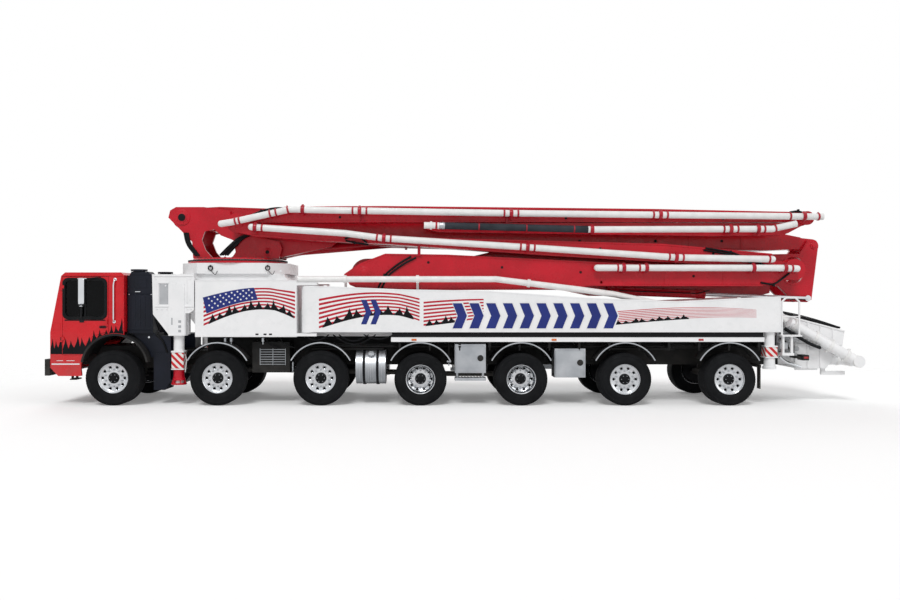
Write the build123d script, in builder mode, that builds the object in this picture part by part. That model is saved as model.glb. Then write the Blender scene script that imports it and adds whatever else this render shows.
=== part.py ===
"""Seven-axle truck with a six-section folding concrete boom, parked with the boom stowed.

All sizes are in millimetres. X runs from the front bumper to the rear, Y from the
driver's side (-) to the far side (+), and Z up from the ground.
"""

import os
from typing import NamedTuple

from build123d import *

# Fits shared by everything
SEAT = 0.3  # gap between two fixed pieces that rest on each other
RUN = 0.08  # radial clearance of a pin or spindle that turns in a bore
SIDE_GAP = 10.0  # sideways gap between moving boom ends
LEFT, RIGHT = -1, 1

# Overall
HALF_WIDTH = 1270.0
FRONT_END, REAR_END = -8290.0, 8290.0

# Wheels
TYRE_FACE = 1250.0  # distance of the outer tyre wall from the middle
STEER_RADIUS, DRIVE_RADIUS = 550.0, 525.0
SINGLE_WIDTH, TWIN_TYRE, TWIN_GAP = 400.0, 280.0, 60.0
RIM_RADIUS, DISC_RADIUS = 305.0, 285.0
HUB_RADIUS, SPINDLE_RADIUS, SPINDLE_DEPTH = 95.0, 60.0, 170.0
TREAD_SHOULDER, WALL_TUCK = 45.0, 14.0

# Steering
KINGPIN_Y, KINGPIN_RADIUS, KNUCKLE_HALF, KNUCKLE_HALF_Z = 745.0, 30.0, 55.0, 110.0
KNUCKLE_INNER, BEAM_END, YOKE_REACH = 690.0, 640.0, 800.0

# Chassis
RAIL_INNER, RAIL_OUTER = 330.0, 430.0
RAIL_LOW, RAIL_HIGH = 760.0, 1060.0
RAIL_FRONT, RAIL_REAR = -8050.0, 6740.0
SUBFRAME_TOP, SUBFRAME_FRONT = 1370.0, -5230.0
AXLE_HALF = 65.0
CROSS_XS = (-7900.0, -5400.0, -3800.0, -1760.0, 260.0, 2300.0, 4390.0, 6600.0)

# Cab
CAB_HALF, CAB_WALL = 1200.0, 45.0
CAB_ROOF, CAB_REAR = 2670.0, -6710.0
CAB_NOSE, CAB_TOP_NOSE = -8190.0, -7970.0
BELT_Z, CAB_FLOOR, SEAT_FLOOR, CAB_BOTTOM = 1470.0, 1190.0, 1480.0, 590.0
ARCH_X, ARCH_Z, ARCH_RADIUS, FLARE_DEPTH = -6890.0, 761.0, 680.0, 40.0
DOOR_FRONT, DOOR_REAR, DOOR_TOP, DOOR_SILL = -7945.0, -7015.0, 2590.0, 1010.0
DOOR_GAP, DOOR_HINGES, HINGE_Y, HINGE_RADIUS = 6.0, (1340.0, 2380.0), CAB_HALF + 16.0, 8.0
SEAT_Y, DASH_HALF = CAB_HALF - 560.0, CAB_HALF - 100.0
WINDOW_FRONT, WINDOW_REAR, WINDOW_LOW, WINDOW_TOP = -7895.0, -7080.0, 1760.0, 2530.0
SCREEN_LOW, SCREEN_TOP, SCREEN_HALF = 1700.0, 2520.0, 1040.0
GLASS = 8.0
BUMPER_LOW, BUMPER_HIGH = 600.0, 930.0
TOW_X, TOW_RADIUS = -8255.0, 19.0

# Air cleaner stack and the tanks behind the front wheels
STACK_X, STACK_OUT, STACK_LOW, STACK_HIGH = (-6690.0, -6180.0), 1045.0, 1440.0, 2605.0
TANK_X, TANK_LOW = (-6170.0, -5830.0), 290.0
BATTERY_X, BATTERY_OUT, BATTERY_Z = (-4180.0, -3420.0), 960.0, (640.0, 1260.0)
SHIELD_Y, LINER_LOW = 520.0, 1000.0

# Pedestal and slewing ring
RING_X, RING_RADIUS = -4675.0, 1000.0
TOOTH_COUNT, TOOTH_WIDTH, TOOTH_HEIGHT = 60, 52.0, 60.0
PEDESTAL_FRONT, PEDESTAL_REAR, PEDESTAL_HALF = -5270.0, -3240.0, 1250.0
PEDESTAL_LOW, PEDESTAL_HIGH = 1375.0, 2510.0
FLANGE_LOW, FLANGE_HIGH, RING_TOP = 2650.0, 2870.0, 2950.0

# Front legs: a beam on each side slides out along a slanted line
LEG_RUN = Vector(-0.77, -0.638, 0).normalized()
LEG_HEAD_X, LEG_HEAD_Y, LEG_BEAM_HALF, LEG_BEAM_LENGTH = -5635.0, 1090.0, 130.0, 2900.0
LEG_CLEAR = 12.0
LEG_LEVELS = {LEFT: (2060.0, 2360.0), RIGHT: (1600.0, 1900.0)}
JACK_SLEEVE, JACK_RADIUS, FOOT_RADIUS = 165.0, 105.0, 150.0

# Rear legs: a long side panel on each side swings out about an upright post
POST_X, POST_Y, POST_RADIUS, POST_PIN = -2990.0, 1100.0, 168.0, 50.0
POST_LOW, POST_HIGH = 1460.0, 2400.0
PANEL_LOW, PANEL_INNER, PANEL_REAR = 1470.0, 1000.0, 6440.0
REAR_JACK_X, REAR_JACK_Y, REAR_JACK_HALF = 6270.0, 1120.0, 130.0

# Deck
DECK_FRONT, DECK_REAR, DECK_HALF, DECK_TOP = -2750.0, 6340.0, 800.0, 1950.0

# Delivery line on the deck and its posts
LINE_Y, LINE_Z, LINE_RADIUS = -1120.0, 2535.0, 62.0
POST_XS, BRACKET_TOP = (-2280.0, -820.0), DECK_TOP - 120.0

# Hopper: hinge of its cover and the outlet bend
LID_X, LID_Z, LID_ROD = 6615.0, 1884.0, 12.0
OUTLET_RADIUS, OUTLET_Z = 112.0, 860.0
OUTLET_X = REAR_END - OUTLET_RADIUS

# Mudguards
GUARD_RADIUS, GUARD_THICK, GUARD_LIFT, GUARD_DROP = 682.0, 22.0, 588.0, 340.0

# Luffing cylinder: X and Z of its two pins
LUFF_FOOT, LUFF_HEAD, LUFF_FOOT_PIN = (-3960.0, 3115.0), (-250.0, 3420.0), 40.0
BARREL_LENGTH, BARREL_RADIUS, ROD_RADIUS = 2960.0, 95.0, 55.0

# Boom: side view positions of the pins, X and Z
LUFF_PIN = (-5750.0, 3840.0)
PIN_AB = (7540.0, 3260.0)
PIN_BC = (-1900.0, 2660.0)
PIN_CD = (6866.0, 2736.0)
PIN_DE = (-4507.0, 3685.0)
PIN_EF = (7120.0, 3786.0)
ROOT_HALF, BOX_A_HALF, BOX_B_HALF, WELL_HALF = 390.0, 330.0, 260.0, 150.0
WELL_END = 20.0  # beyond the luffing rod's eye wherever its open linkage drifts
LANE_INNER, LANE_OUTER = -620.0, -950.0  # the lane beside A and B for sections C to F
PIPE_LANE, PIPE_RADIUS, COUPLING_RADIUS, COUPLING_LENGTH = -1085.0, 67.0, 84.0, 70.0
SPIGOT_LENGTH, SPIGOT_COLLAR = 120.0, 40.0  # free end that the end hose fits over
FORK_PLATE, PIN_RADIUS = 55.0, 60.0

# Fold cylinder beside the second section: X and Z of its two pins
FOLD_FOOT, FOLD_HEAD, FOLD_Y = (3180.0, 2310.0), (7390.0, 2150.0), -372.0
FOLD_BARREL_RADIUS, FOLD_ROD_RADIUS, FOLD_BARREL_END = 90.0, 40.0, 5200.0


class Wheel(NamedTuple):
    """One wheel position: axle number, place along the truck and tyre set."""

    axle: int
    x: float
    radius: float
    twin: bool


AXLES = (
    Wheel(1, -6920.0, STEER_RADIUS, False),
    Wheel(2, -4830.0, STEER_RADIUS, False),
    Wheel(3, -2760.0, STEER_RADIUS, False),
    Wheel(4, -760.0, DRIVE_RADIUS, True),
    Wheel(5, 1260.0, DRIVE_RADIUS, True),
    Wheel(6, 3340.0, DRIVE_RADIUS, False),
    Wheel(7, 5430.0, DRIVE_RADIUS, False),
)


# Helpers: each one works on the part that is being built


def block(x_span, y_span, z_span, mode=Mode.ADD):
    """A box between two X, two Y and two Z values."""
    sizes = [high - low for low, high in (x_span, y_span, z_span)]
    middle = [(low + high) / 2 for low, high in (x_span, y_span, z_span)]
    with Locations(tuple(middle)):
        Box(*sizes, mode=mode)


def slab(points, y_span, mode=Mode.ADD):
    """A plate with a side outline of X, Z points between two Y values."""
    low, high = y_span
    with BuildSketch(Plane.XZ.offset(-high)) as outline:
        with BuildLine():
            Polyline(*points, close=True)
        make_face()
    extrude(outline.sketch, amount=high - low, mode=mode)


def plan_slab(points, z_span, mode=Mode.ADD):
    """A plate with a plan outline of X, Y points between two Z values."""
    low, high = z_span
    with BuildSketch(Plane.XY.offset(low)) as outline:
        with BuildLine():
            Polyline(*points, close=True)
        make_face()
    extrude(outline.sketch, amount=high - low, mode=mode)


def bar(start, end, radius, mode=Mode.ADD):
    """A round bar between two points."""
    run = Vector(end) - Vector(start)
    with BuildSketch(Plane(origin=start, z_dir=run)) as disc:
        Circle(radius)
    extrude(disc.sketch, amount=run.length, mode=mode)


def eye(centre, radius, y_span, mode=Mode.ADD):
    """A round boss across the truck at an X, Z place."""
    x, z = centre
    bar((x, y_span[0], z), (x, y_span[1], z), radius, mode)


def pipe_run(points, radius):
    """A round pipe along straight pieces with mitred corners."""
    run = Vector(points[1]) - Vector(points[0])
    with BuildLine() as path:
        Polyline(*points)
    with BuildSketch(Plane(origin=points[0], z_dir=run)) as ring:
        Circle(radius)
    sweep(ring.sketch, path=path.line, transition=Transition.RIGHT)


def coupling(place, run, radius, length=COUPLING_LENGTH):
    """A clamp ring around a pipe at a place, along the pipe's run."""
    half = Vector(run).normalized() * (length / 2)
    bar(tuple(Vector(place) - half), tuple(Vector(place) + half), radius)


def across(side, inner, outer):
    """The Y values between two distances from the middle, on one side."""
    return tuple(sorted((side * inner, side * outer)))


def strip(start, run, length, half_width):
    """Plan corners of a straight strip along a run."""
    side = Vector(-run.Y, run.X, 0) * half_width
    end = start + run * length
    corners = (start + side, end + side, end - side, start - side)
    return [(corner.X, corner.Y) for corner in corners]


# Running gear


def make_wheel(wheel, side):
    """A wheel with its tyre or pair of tyres, dished disc and hub, bored for the spindle."""
    radius = wheel.radius
    width = 2 * TWIN_TYRE + TWIN_GAP if wheel.twin else SINGLE_WIDTH
    dish = 190.0 if wheel.twin else 70.0
    hub_out = 40.0 if wheel.twin else 8.0
    rim_lip = 12.0
    outer = TYRE_FACE
    inner = TYRE_FACE - width
    tread = radius
    wall = radius - TREAD_SHOULDER
    profile = [
        (SPINDLE_RADIUS + RUN, inner),
        (RIM_RADIUS, inner),
        (wall, inner),
        (tread, inner + TREAD_SHOULDER),
    ]
    if wheel.twin:
        middle = (outer + inner) / 2
        profile += [
            (tread, middle - TWIN_GAP / 2),
            (RIM_RADIUS + 20, middle - TWIN_GAP / 2),
            (RIM_RADIUS + 20, middle + TWIN_GAP / 2),
            (tread, middle + TWIN_GAP / 2),
        ]
    profile += [
        (tread, outer - TREAD_SHOULDER),
        (wall, outer),
        (RIM_RADIUS, outer - WALL_TUCK),
        (DISC_RADIUS, outer - WALL_TUCK - rim_lip),
        (DISC_RADIUS - 25, outer - dish),
        (HUB_RADIUS, outer - dish),
        (HUB_RADIUS - 12, outer - hub_out),
        (0, outer - hub_out),
        (0, inner + SPINDLE_DEPTH),
        (SPINDLE_RADIUS + RUN, inner + SPINDLE_DEPTH),
    ]
    with BuildPart() as body:
        with BuildSketch(Plane.XY) as section:
            with BuildLine():
                Polyline(*[(r, side * y) for r, y in profile], close=True)
            make_face()
        revolve(section.sketch, axis=Axis.Y)
    return body.part.moved(Location((wheel.x, 0, radius)))


def make_knuckle(side):
    """The block that steers a front wheel, with its spindle."""
    first = AXLES[0]
    inner = TYRE_FACE - SINGLE_WIDTH
    with BuildPart() as body:
        block(
            (first.x - KNUCKLE_HALF, first.x + KNUCKLE_HALF),
            across(side, KNUCKLE_INNER, inner - SIDE_GAP),
            (first.radius - KNUCKLE_HALF_Z, first.radius + KNUCKLE_HALF_Z),
        )
        bar(
            (first.x, side * (inner - SIDE_GAP), first.radius),
            (first.x, side * (inner + SPINDLE_DEPTH - SIDE_GAP), first.radius),
            SPINDLE_RADIUS,
        )
        # Arm to the track rod, behind the beam
        block(
            (first.x + KNUCKLE_HALF, first.x + KNUCKLE_HALF + 170),
            across(side, KNUCKLE_INNER + 60, KNUCKLE_INNER + 120),
            (first.radius - 60, first.radius - 10),
        )
        bar(
            (first.x, side * KINGPIN_Y, first.radius - KNUCKLE_HALF_Z - 1),
            (first.x, side * KINGPIN_Y, first.radius + KNUCKLE_HALF_Z + 1),
            KINGPIN_RADIUS + RUN,
            Mode.SUBTRACT,
        )
    return body.part


def make_driveline():
    """Engine and gearbox as plain blocks, the shafts and the seven axle beams."""
    engine_front, engine_rear, shaft_z = -7560.0, -6300.0, 640.0
    with BuildPart() as body:
        block((engine_front, engine_rear), (-300, 300), (690, 1150))
        block((engine_rear, -5500), (-210, 210), (560, 1000))
        for wheel in AXLES:
            inner = TYRE_FACE - (2 * TWIN_TYRE + TWIN_GAP if wheel.twin else SINGLE_WIDTH)
            end = BEAM_END if wheel.axle == 1 else inner - SIDE_GAP
            block(
                (wheel.x - AXLE_HALF, wheel.x + AXLE_HALF),
                (-end, end),
                (wheel.radius - AXLE_HALF, wheel.radius + AXLE_HALF),
            )
            for side in (LEFT, RIGHT):
                if wheel.axle == 1:
                    # Yoke above and below the knuckle, with the kingpin through it
                    reach = KNUCKLE_HALF_Z + 6
                    span = across(side, BEAM_END - 60, YOKE_REACH)
                    for low, high in ((-reach - 25, -reach), (reach, reach + 25)):
                        block(
                            (wheel.x - 50, wheel.x + 50),
                            span,
                            (wheel.radius + low, wheel.radius + high),
                        )
                    block(
                        (wheel.x - 50, wheel.x + 50),
                        across(side, BEAM_END - 60, BEAM_END),
                        (wheel.radius - reach, wheel.radius + reach),
                    )
                    bar(
                        (wheel.x, side * KINGPIN_Y, wheel.radius - reach),
                        (wheel.x, side * KINGPIN_Y, wheel.radius + reach),
                        KINGPIN_RADIUS,
                    )
                    continue
                bar(
                    (wheel.x, side * end, wheel.radius),
                    (wheel.x, side * (inner + SPINDLE_DEPTH - SIDE_GAP), wheel.radius),
                    SPINDLE_RADIUS,
                )
            if wheel.twin:
                bar(
                    (wheel.x, -190, wheel.radius),
                    (wheel.x, 190, wheel.radius),
                    190,
                )
        bar((-5500, 0, shaft_z), (-930, 0, 560), 55)
        bar((-600, 0, 530), (1090, 0, 530), 55)
    return body.part


def make_chassis():
    """Two long rails with cross members, the upper frame and the axle hangers."""
    with BuildPart() as body:
        for side in (LEFT, RIGHT):
            block((RAIL_FRONT, RAIL_REAR), across(side, RAIL_INNER, RAIL_OUTER), (RAIL_LOW, RAIL_HIGH))
            block(
                (SUBFRAME_FRONT, RAIL_REAR),
                across(side, RAIL_INNER, RAIL_OUTER),
                (RAIL_HIGH, SUBFRAME_TOP),
            )
            for wheel in AXLES:
                top = wheel.radius + AXLE_HALF + SEAT
                block(
                    (wheel.x - 110, wheel.x + 110),
                    across(side, RAIL_INNER + 10, RAIL_OUTER - 10),
                    (top, RAIL_LOW),
                )
            # Battery and air boxes hung on the rails between the second and third axles
            block(BATTERY_X, across(side, RAIL_OUTER - 5, BATTERY_OUT), BATTERY_Z)
        for x in CROSS_XS:
            low = RAIL_HIGH - 120 if x < -6500 or x > -3000 else RAIL_HIGH - 60
            if x == -7900.0:
                low = RAIL_LOW + 40
            block((x - 40, x + 40), (-RAIL_INNER, RAIL_INNER), (low, RAIL_HIGH - 20))
    return body.part


# Cab


def cab_outline(inset):
    """Side outline of the cab, drawn in by an inset."""
    slope = (CAB_TOP_NOSE - CAB_NOSE) / (2600.0 - BELT_Z)
    front = CAB_TOP_NOSE + inset
    return [
        (CAB_NOSE + inset, BELT_Z),
        (front - inset * slope, 2600.0 - inset),
        (-7890.0 + inset, CAB_ROOF - inset),
        (CAB_REAR - 60.0, CAB_ROOF - inset),
        (CAB_REAR - inset, CAB_ROOF - 55.0 - inset),
    ]


def door_outline(gap):
    """Side outline of a cab door, drawn in by a gap."""
    return [
        (DOOR_FRONT + gap, DOOR_SILL + gap),
        (DOOR_FRONT + gap, DOOR_TOP - gap),
        (DOOR_REAR - gap, DOOR_TOP - gap),
        (DOOR_REAR - gap, SEAT_FLOOR + gap),
        (-7330.0, SEAT_FLOOR - 90 + gap),
        (-7520.0, 1190.0 + gap),
        (-7580.0 - gap, DOOR_SILL + gap),
    ]


def make_cab_shell():
    """Hollow cab with its roof, floor, skirts, door openings and screen opening."""
    lower = [(CAB_REAR, CAB_BOTTOM + 100), (-7605.0, CAB_BOTTOM), (-8030.0, CAB_BOTTOM), (CAB_NOSE, 760.0)]
    front_in = CAB_NOSE + CAB_WALL
    inner_half = CAB_HALF - CAB_WALL
    with BuildPart() as body:
        slab(cab_outline(0) + lower, (-CAB_HALF, CAB_HALF))
        # Cabin above the stepped floor
        cabin = cab_outline(CAB_WALL)[:5]
        floor = [
            (CAB_REAR - CAB_WALL, SEAT_FLOOR + CAB_WALL),
            (-7560.0, SEAT_FLOOR + CAB_WALL),
            (-7560.0, CAB_FLOOR + CAB_WALL),
            (front_in, CAB_FLOOR + CAB_WALL),
        ]
        slab(cabin + floor, (-inner_half, inner_half), Mode.SUBTRACT)
        # Open space below the floor
        under = [
            (front_in, CAB_FLOOR),
            (-7605.0, CAB_FLOOR),
            (-7605.0, SEAT_FLOOR),
            (CAB_REAR + 1, SEAT_FLOOR),
            (CAB_REAR + 1, CAB_BOTTOM - 1),
            (-7605.0, CAB_BOTTOM - 1),
            (-8060.0, CAB_BOTTOM - 1),
            (front_in, 770.0),
        ]
        slab(under, (-inner_half, inner_half), Mode.SUBTRACT)
        # Wheel arches
        eye((ARCH_X, ARCH_Z), ARCH_RADIUS + SEAT, (-CAB_HALF - 1, CAB_HALF + 1), Mode.SUBTRACT)
        block((-7560.0, CAB_REAR + 1), (-CAB_HALF - 1, CAB_HALF + 1), (CAB_BOTTOM - 1, ARCH_Z), Mode.SUBTRACT)
        for side in (LEFT, RIGHT):
            slab(door_outline(0), across(side, inner_half - 1, CAB_HALF + 1), Mode.SUBTRACT)
            # Lugs and pins of the door hinges
            for z in DOOR_HINGES:
                for low, high in ((z - 62, z - 36), (z + 36, z + 62)):
                    lug = across(side, CAB_HALF - 5, HINGE_Y + 9)
                    block((DOOR_FRONT - 40, DOOR_FRONT - 4), lug, (low, high))
                    tip = across(side, CAB_HALF + 5, HINGE_Y + 9)
                    block((DOOR_FRONT - 5, DOOR_FRONT + 9), tip, (low, high))
                bar(
                    (DOOR_FRONT, side * HINGE_Y, z - 60),
                    (DOOR_FRONT, side * HINGE_Y, z + 60),
                    HINGE_RADIUS,
                )
            # Room for the bumper's arms
            block(
                (CAB_NOSE - 1, CAB_NOSE + 200),
                across(side, RAIL_INNER - 8, RAIL_OUTER + 8),
                (RAIL_LOW + 10, BUMPER_HIGH - 10),
                Mode.SUBTRACT,
            )
        block((CAB_NOSE - 1, -7900), (-SCREEN_HALF, SCREEN_HALF), (SCREEN_LOW, SCREEN_TOP), Mode.SUBTRACT)
        block((CAB_REAR - CAB_WALL - 1, CAB_REAR + 1), (-520, 520), (1900, 2400), Mode.SUBTRACT)
    return body.part


def make_cab_glass():
    """Sloping windscreen and the rear pane."""
    slope = (CAB_TOP_NOSE - CAB_NOSE) / (2600.0 - BELT_Z)
    low, high = SCREEN_LOW + SEAT, SCREEN_TOP - SEAT
    x_low = CAB_NOSE + slope * (low - BELT_Z) + 14
    x_high = CAB_NOSE + slope * (high - BELT_Z) + 14
    with BuildPart() as body:
        slab(
            [(x_low, low), (x_high, high), (x_high + GLASS, high), (x_low + GLASS, low)],
            (-SCREEN_HALF + SEAT, SCREEN_HALF - SEAT),
        )
        block(
            (CAB_REAR - 30, CAB_REAR - 30 + GLASS),
            (-520 + SEAT, 520 - SEAT),
            (1900 + SEAT, 2400 - SEAT),
        )
    return body.part


def make_cab_interior():
    """Two seats, the dash, the engine cover and the steering wheel."""
    seat_low = SEAT_FLOOR + CAB_WALL + SEAT
    floor = CAB_FLOOR + CAB_WALL + SEAT
    with BuildPart() as body:
        for side in (LEFT, RIGHT):
            centre = side * SEAT_Y
            block((-7380, -6900), (centre - 240, centre + 240), (seat_low, seat_low + 190))
            slab(
                [(-6980, seat_low + 190), (-7060, seat_low + 190), (-6950, 2360), (-6860, 2360)],
                (centre - 230, centre + 230),
            )
        block((-8110, -7820), (-DASH_HALF, DASH_HALF), (floor, 1600))
        block((-7800, -7400), (-280, 280), (SEAT_FLOOR + CAB_WALL + SEAT, 1660))
        # Steering column and wheel on the driver's side
        bar((-7860, -SEAT_Y, 1560), (-7640, -SEAT_Y, 1760), 28)
        bar((-7650, -SEAT_Y, 1748), (-7630, -SEAT_Y, 1770), 215)
    return body.part


def make_door(side):
    """Cab door as thick as the cab wall, with its window cut out."""
    inner = CAB_HALF - CAB_WALL
    with BuildPart() as body:
        slab(door_outline(DOOR_GAP), across(side, inner, CAB_HALF))
        block(
            (WINDOW_FRONT, WINDOW_REAR),
            across(side, inner - 1, CAB_HALF + 1),
            (WINDOW_LOW, WINDOW_TOP),
            Mode.SUBTRACT,
        )
        for z in DOOR_HINGES:
            y = side * HINGE_Y
            leaf = across(side, CAB_HALF - 5, HINGE_Y + 8)
            block((DOOR_FRONT + 10, DOOR_FRONT + 40), leaf, (z - 30, z + 30))
            bar((DOOR_FRONT, y, z - 30), (DOOR_FRONT, y, z + 30), HINGE_RADIUS + 6)
            bar((DOOR_FRONT, y, z - 31), (DOOR_FRONT, y, z + 31), HINGE_RADIUS + RUN, Mode.SUBTRACT)
        # Pull handle on the outside of the pillar
        bar((-7045, side * (CAB_HALF + 22), 1640), (-7045, side * (CAB_HALF + 22), 1740), 9)
        bar((-7045, side * CAB_HALF, 1650), (-7045, side * (CAB_HALF + 22), 1650), 8)
        bar((-7045, side * CAB_HALF, 1730), (-7045, side * (CAB_HALF + 22), 1730), 8)
    return body.part


def make_door_glass(side):
    """Side pane of a cab door."""
    inner = CAB_HALF - 26.0
    with BuildPart() as body:
        block(
            (WINDOW_FRONT + SEAT, WINDOW_REAR - SEAT),
            across(side, inner, inner + GLASS),
            (WINDOW_LOW + SEAT, WINDOW_TOP - SEAT),
        )
    return body.part


def make_bumper():
    """Deep front bumper with two tow eyes."""
    with BuildPart() as body:
        block((FRONT_END, CAB_NOSE - SEAT), (-1220, 1220), (BUMPER_LOW, BUMPER_HIGH))
        for y in (-700.0, 700.0):
            block(
                (FRONT_END, FRONT_END + 60),
                (y - 60, y + 60),
                (BUMPER_LOW + 60, BUMPER_LOW + 180),
                Mode.SUBTRACT,
            )
            bar((TOW_X, y, BUMPER_LOW + 100), (TOW_X, y, BUMPER_HIGH + 1), TOW_RADIUS, Mode.SUBTRACT)
        for side in (LEFT, RIGHT):
            block(
                (FRONT_END + 40, RAIL_FRONT - SEAT),
                across(side, RAIL_INNER, RAIL_OUTER),
                (RAIL_LOW + 20, BUMPER_HIGH - 20),
            )
    return body.part


def make_air_stack():
    """Air cleaner on the driver's side, silencer on the far side and the tanks below."""
    with BuildPart() as body:
        for side in (LEFT, RIGHT):
            block(STACK_X, across(side, 640, STACK_OUT), (STACK_LOW, STACK_HIGH))
            slab(
                [
                    (STACK_X[0] + 15, STACK_HIGH),
                    (STACK_X[0] + 60, STACK_HIGH + 85),
                    (STACK_X[1] - 110, STACK_HIGH + 85),
                    (STACK_X[1] - 25, STACK_HIGH),
                ],
                across(side, 690, STACK_OUT - 45),
            )
            middle = (-6515, side * 870)
            bar((*middle, STACK_HIGH + 85), (*middle, STACK_HIGH + 100), 120)
            bar((*middle, STACK_HIGH + 100), (*middle, STACK_HIGH + 135), 165)
            # Shelf under the stack and the low tank behind the front wheel
            block((-6590, -6140), across(side, RAIL_OUTER + SEAT, 1000), (STACK_LOW - 45, STACK_LOW))
            block(TANK_X, across(side, RAIL_OUTER + SEAT, 1000), (1040, STACK_LOW - 60))
            # Lower tank with its rear bottom edge cut off, and the deeper one inside it
            slab(
                [
                    (TANK_X[0], 1040),
                    (TANK_X[0], TANK_LOW),
                    (TANK_X[1] - 120, TANK_LOW),
                    (TANK_X[1], TANK_LOW + 170),
                    (TANK_X[1], 1040),
                ],
                across(side, RAIL_OUTER + SEAT, 1020),
            )
            arm_x = (TANK_X[1] - 1, TANK_X[1] + 110)
            block(arm_x, across(side, RAIL_OUTER + SEAT, 900), (TANK_LOW + 200, 1380))
            # Closing plate that follows the arch up to the shelf
            slab(
                [(-6560, 1396), (-6400, 1252), (-6288, 1120), (-6222, 960), (-6169, 960), (-6169, 1396)],
                across(side, SHIELD_Y + 13, 1000),
            )
            block((TANK_X[0], -6140), across(side, RAIL_OUTER + SEAT, 1000), (STACK_LOW - 61, STACK_LOW))
    return body.part


# Upper works fixed to the chassis


def leg_start(side):
    """Plan point of a front leg's head."""
    return Vector(LEG_HEAD_X, side * LEG_HEAD_Y, 0)


def leg_inward(side):
    """Direction from a front leg's head into the pedestal."""
    return Vector(-LEG_RUN.X, side * LEG_RUN.Y, 0)


def make_pedestal():
    """Boxed body with the flange, toothed ring, leg channels and the rear posts' brackets."""
    half = PEDESTAL_HALF
    with BuildPart() as body:
        block((PEDESTAL_FRONT, PEDESTAL_REAR), (-half, half), (PEDESTAL_LOW, PEDESTAL_HIGH))
        flange = [
            (-5700, -600),
            (-5300, -1000),
            (-3880, -1000),
            (-3480, -600),
            (-3480, 600),
            (-3880, 1000),
            (-5300, 1000),
            (-5700, 600),
        ]
        plan_slab(flange, (FLANGE_LOW, FLANGE_HIGH))
        slab(
            [
                (-5560, PEDESTAL_HIGH),
                (-5660, FLANGE_LOW),
                (-3560, FLANGE_LOW),
                (-3460, PEDESTAL_HIGH),
            ],
            (-930, 930),
        )
        bar((RING_X, 0, FLANGE_HIGH), (RING_X, 0, RING_TOP - 40), RING_RADIUS - 30)
        bar((RING_X, 0, RING_TOP - 40), (RING_X, 0, RING_TOP), RING_RADIUS)
        # Teeth of the slewing ring
        with BuildSketch(Plane.XY.offset(FLANGE_HIGH)) as teeth:
            with Locations((RING_X, 0)):
                with PolarLocations(RING_RADIUS - 14, TOOTH_COUNT):
                    Rectangle(40, TOOTH_WIDTH)
        extrude(teeth.sketch, amount=TOOTH_HEIGHT)
        for side in (LEFT, RIGHT):
            low, high = LEG_LEVELS[side]
            reach = strip(
                leg_start(side), leg_inward(side), LEG_BEAM_LENGTH + 60, LEG_BEAM_HALF + LEG_CLEAR
            )
            plan_slab(reach, (low - LEG_CLEAR, high + LEG_CLEAR), Mode.SUBTRACT)
            # Brackets that hold the rear leg's post from above and below
            for bottom, top in ((POST_LOW - 70, POST_LOW - 10), (POST_HIGH + 10, POST_HIGH + 70)):
                block((PEDESTAL_REAR, POST_X + 150), across(side, 950, half), (bottom, top))
            bar(
                (POST_X, side * POST_Y, POST_LOW - 10),
                (POST_X, side * POST_Y, POST_HIGH + 10),
                POST_PIN,
            )
        # Inner web between the post and the deck
        block((PEDESTAL_REAR, DECK_FRONT - SEAT), (-780, 780), (PEDESTAL_LOW, 1930))
    return body.part


def make_rear_deck():
    """Tanks and walkway between the side panels, with the side rails on brackets."""
    rail_low, rail_high = 1278.0, 1370.0
    with BuildPart() as body:
        block((DECK_FRONT, DECK_REAR), (-DECK_HALF, DECK_HALF), (SUBFRAME_TOP + SEAT, DECK_TOP - 60))
        block((DECK_FRONT + 300, DECK_REAR), (-DECK_HALF, DECK_HALF), (DECK_TOP - 60, DECK_TOP))
        for side in (LEFT, RIGHT):
            block((-1350, 6120), across(side, 1205, 1250), (rail_low, rail_high))
            for x in (-1200.0, 250.0, 2300.0, 4385.0, 6060.0):
                block((x - 30, x + 30), across(side, DECK_HALF - 40, 1205), (rail_high - 50, rail_high))
                foot = across(side, DECK_HALF - 60, DECK_HALF)
                block((x - 30, x + 30), foot, (rail_high - 50, SUBFRAME_TOP + 20))
    return body.part


def make_mudguards():
    """Arched mudguards over axles two to seven, the front arch flares and rear flaps."""
    outer = TYRE_FACE
    with BuildPart() as body:
        for wheel in AXLES[1:]:
            inner = 610.0 if wheel.twin else 850.0
            centre = (wheel.x, GUARD_LIFT)
            for side in (LEFT, RIGHT):
                span = across(side, inner, outer)
                eye(centre, GUARD_RADIUS, span)
        for wheel in AXLES[1:]:
            inner = 610.0 if wheel.twin else 850.0
            for side in (LEFT, RIGHT):
                span = across(side, inner - 1, outer + 1)
                eye((wheel.x, GUARD_LIFT), GUARD_RADIUS - GUARD_THICK, span, Mode.SUBTRACT)
                drop = GUARD_LIFT + GUARD_RADIUS - GUARD_DROP
                block(
                    (wheel.x - GUARD_RADIUS - 1, wheel.x + GUARD_RADIUS + 1),
                    span,
                    (GUARD_LIFT - GUARD_RADIUS - 1, drop),
                    Mode.SUBTRACT,
                )
        for wheel in AXLES[1:]:
            inner = 610.0 if wheel.twin else 850.0
            for side in (LEFT, RIGHT):
                # Stay from the upper frame to the guard's crown
                block(
                    (wheel.x - 35, wheel.x + 35),
                    across(side, RAIL_OUTER + SEAT, inner + 60),
                    (GUARD_LIFT + GUARD_RADIUS - GUARD_THICK - 30, GUARD_LIFT + GUARD_RADIUS - GUARD_THICK),
                )
        for side in (LEFT, RIGHT):
            block((6130, 6150), across(side, 850, 990), (310, 740))
            block((6120, 6160), across(side, RAIL_OUTER + SEAT, 990), (740, 800))
    return body.part


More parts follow.
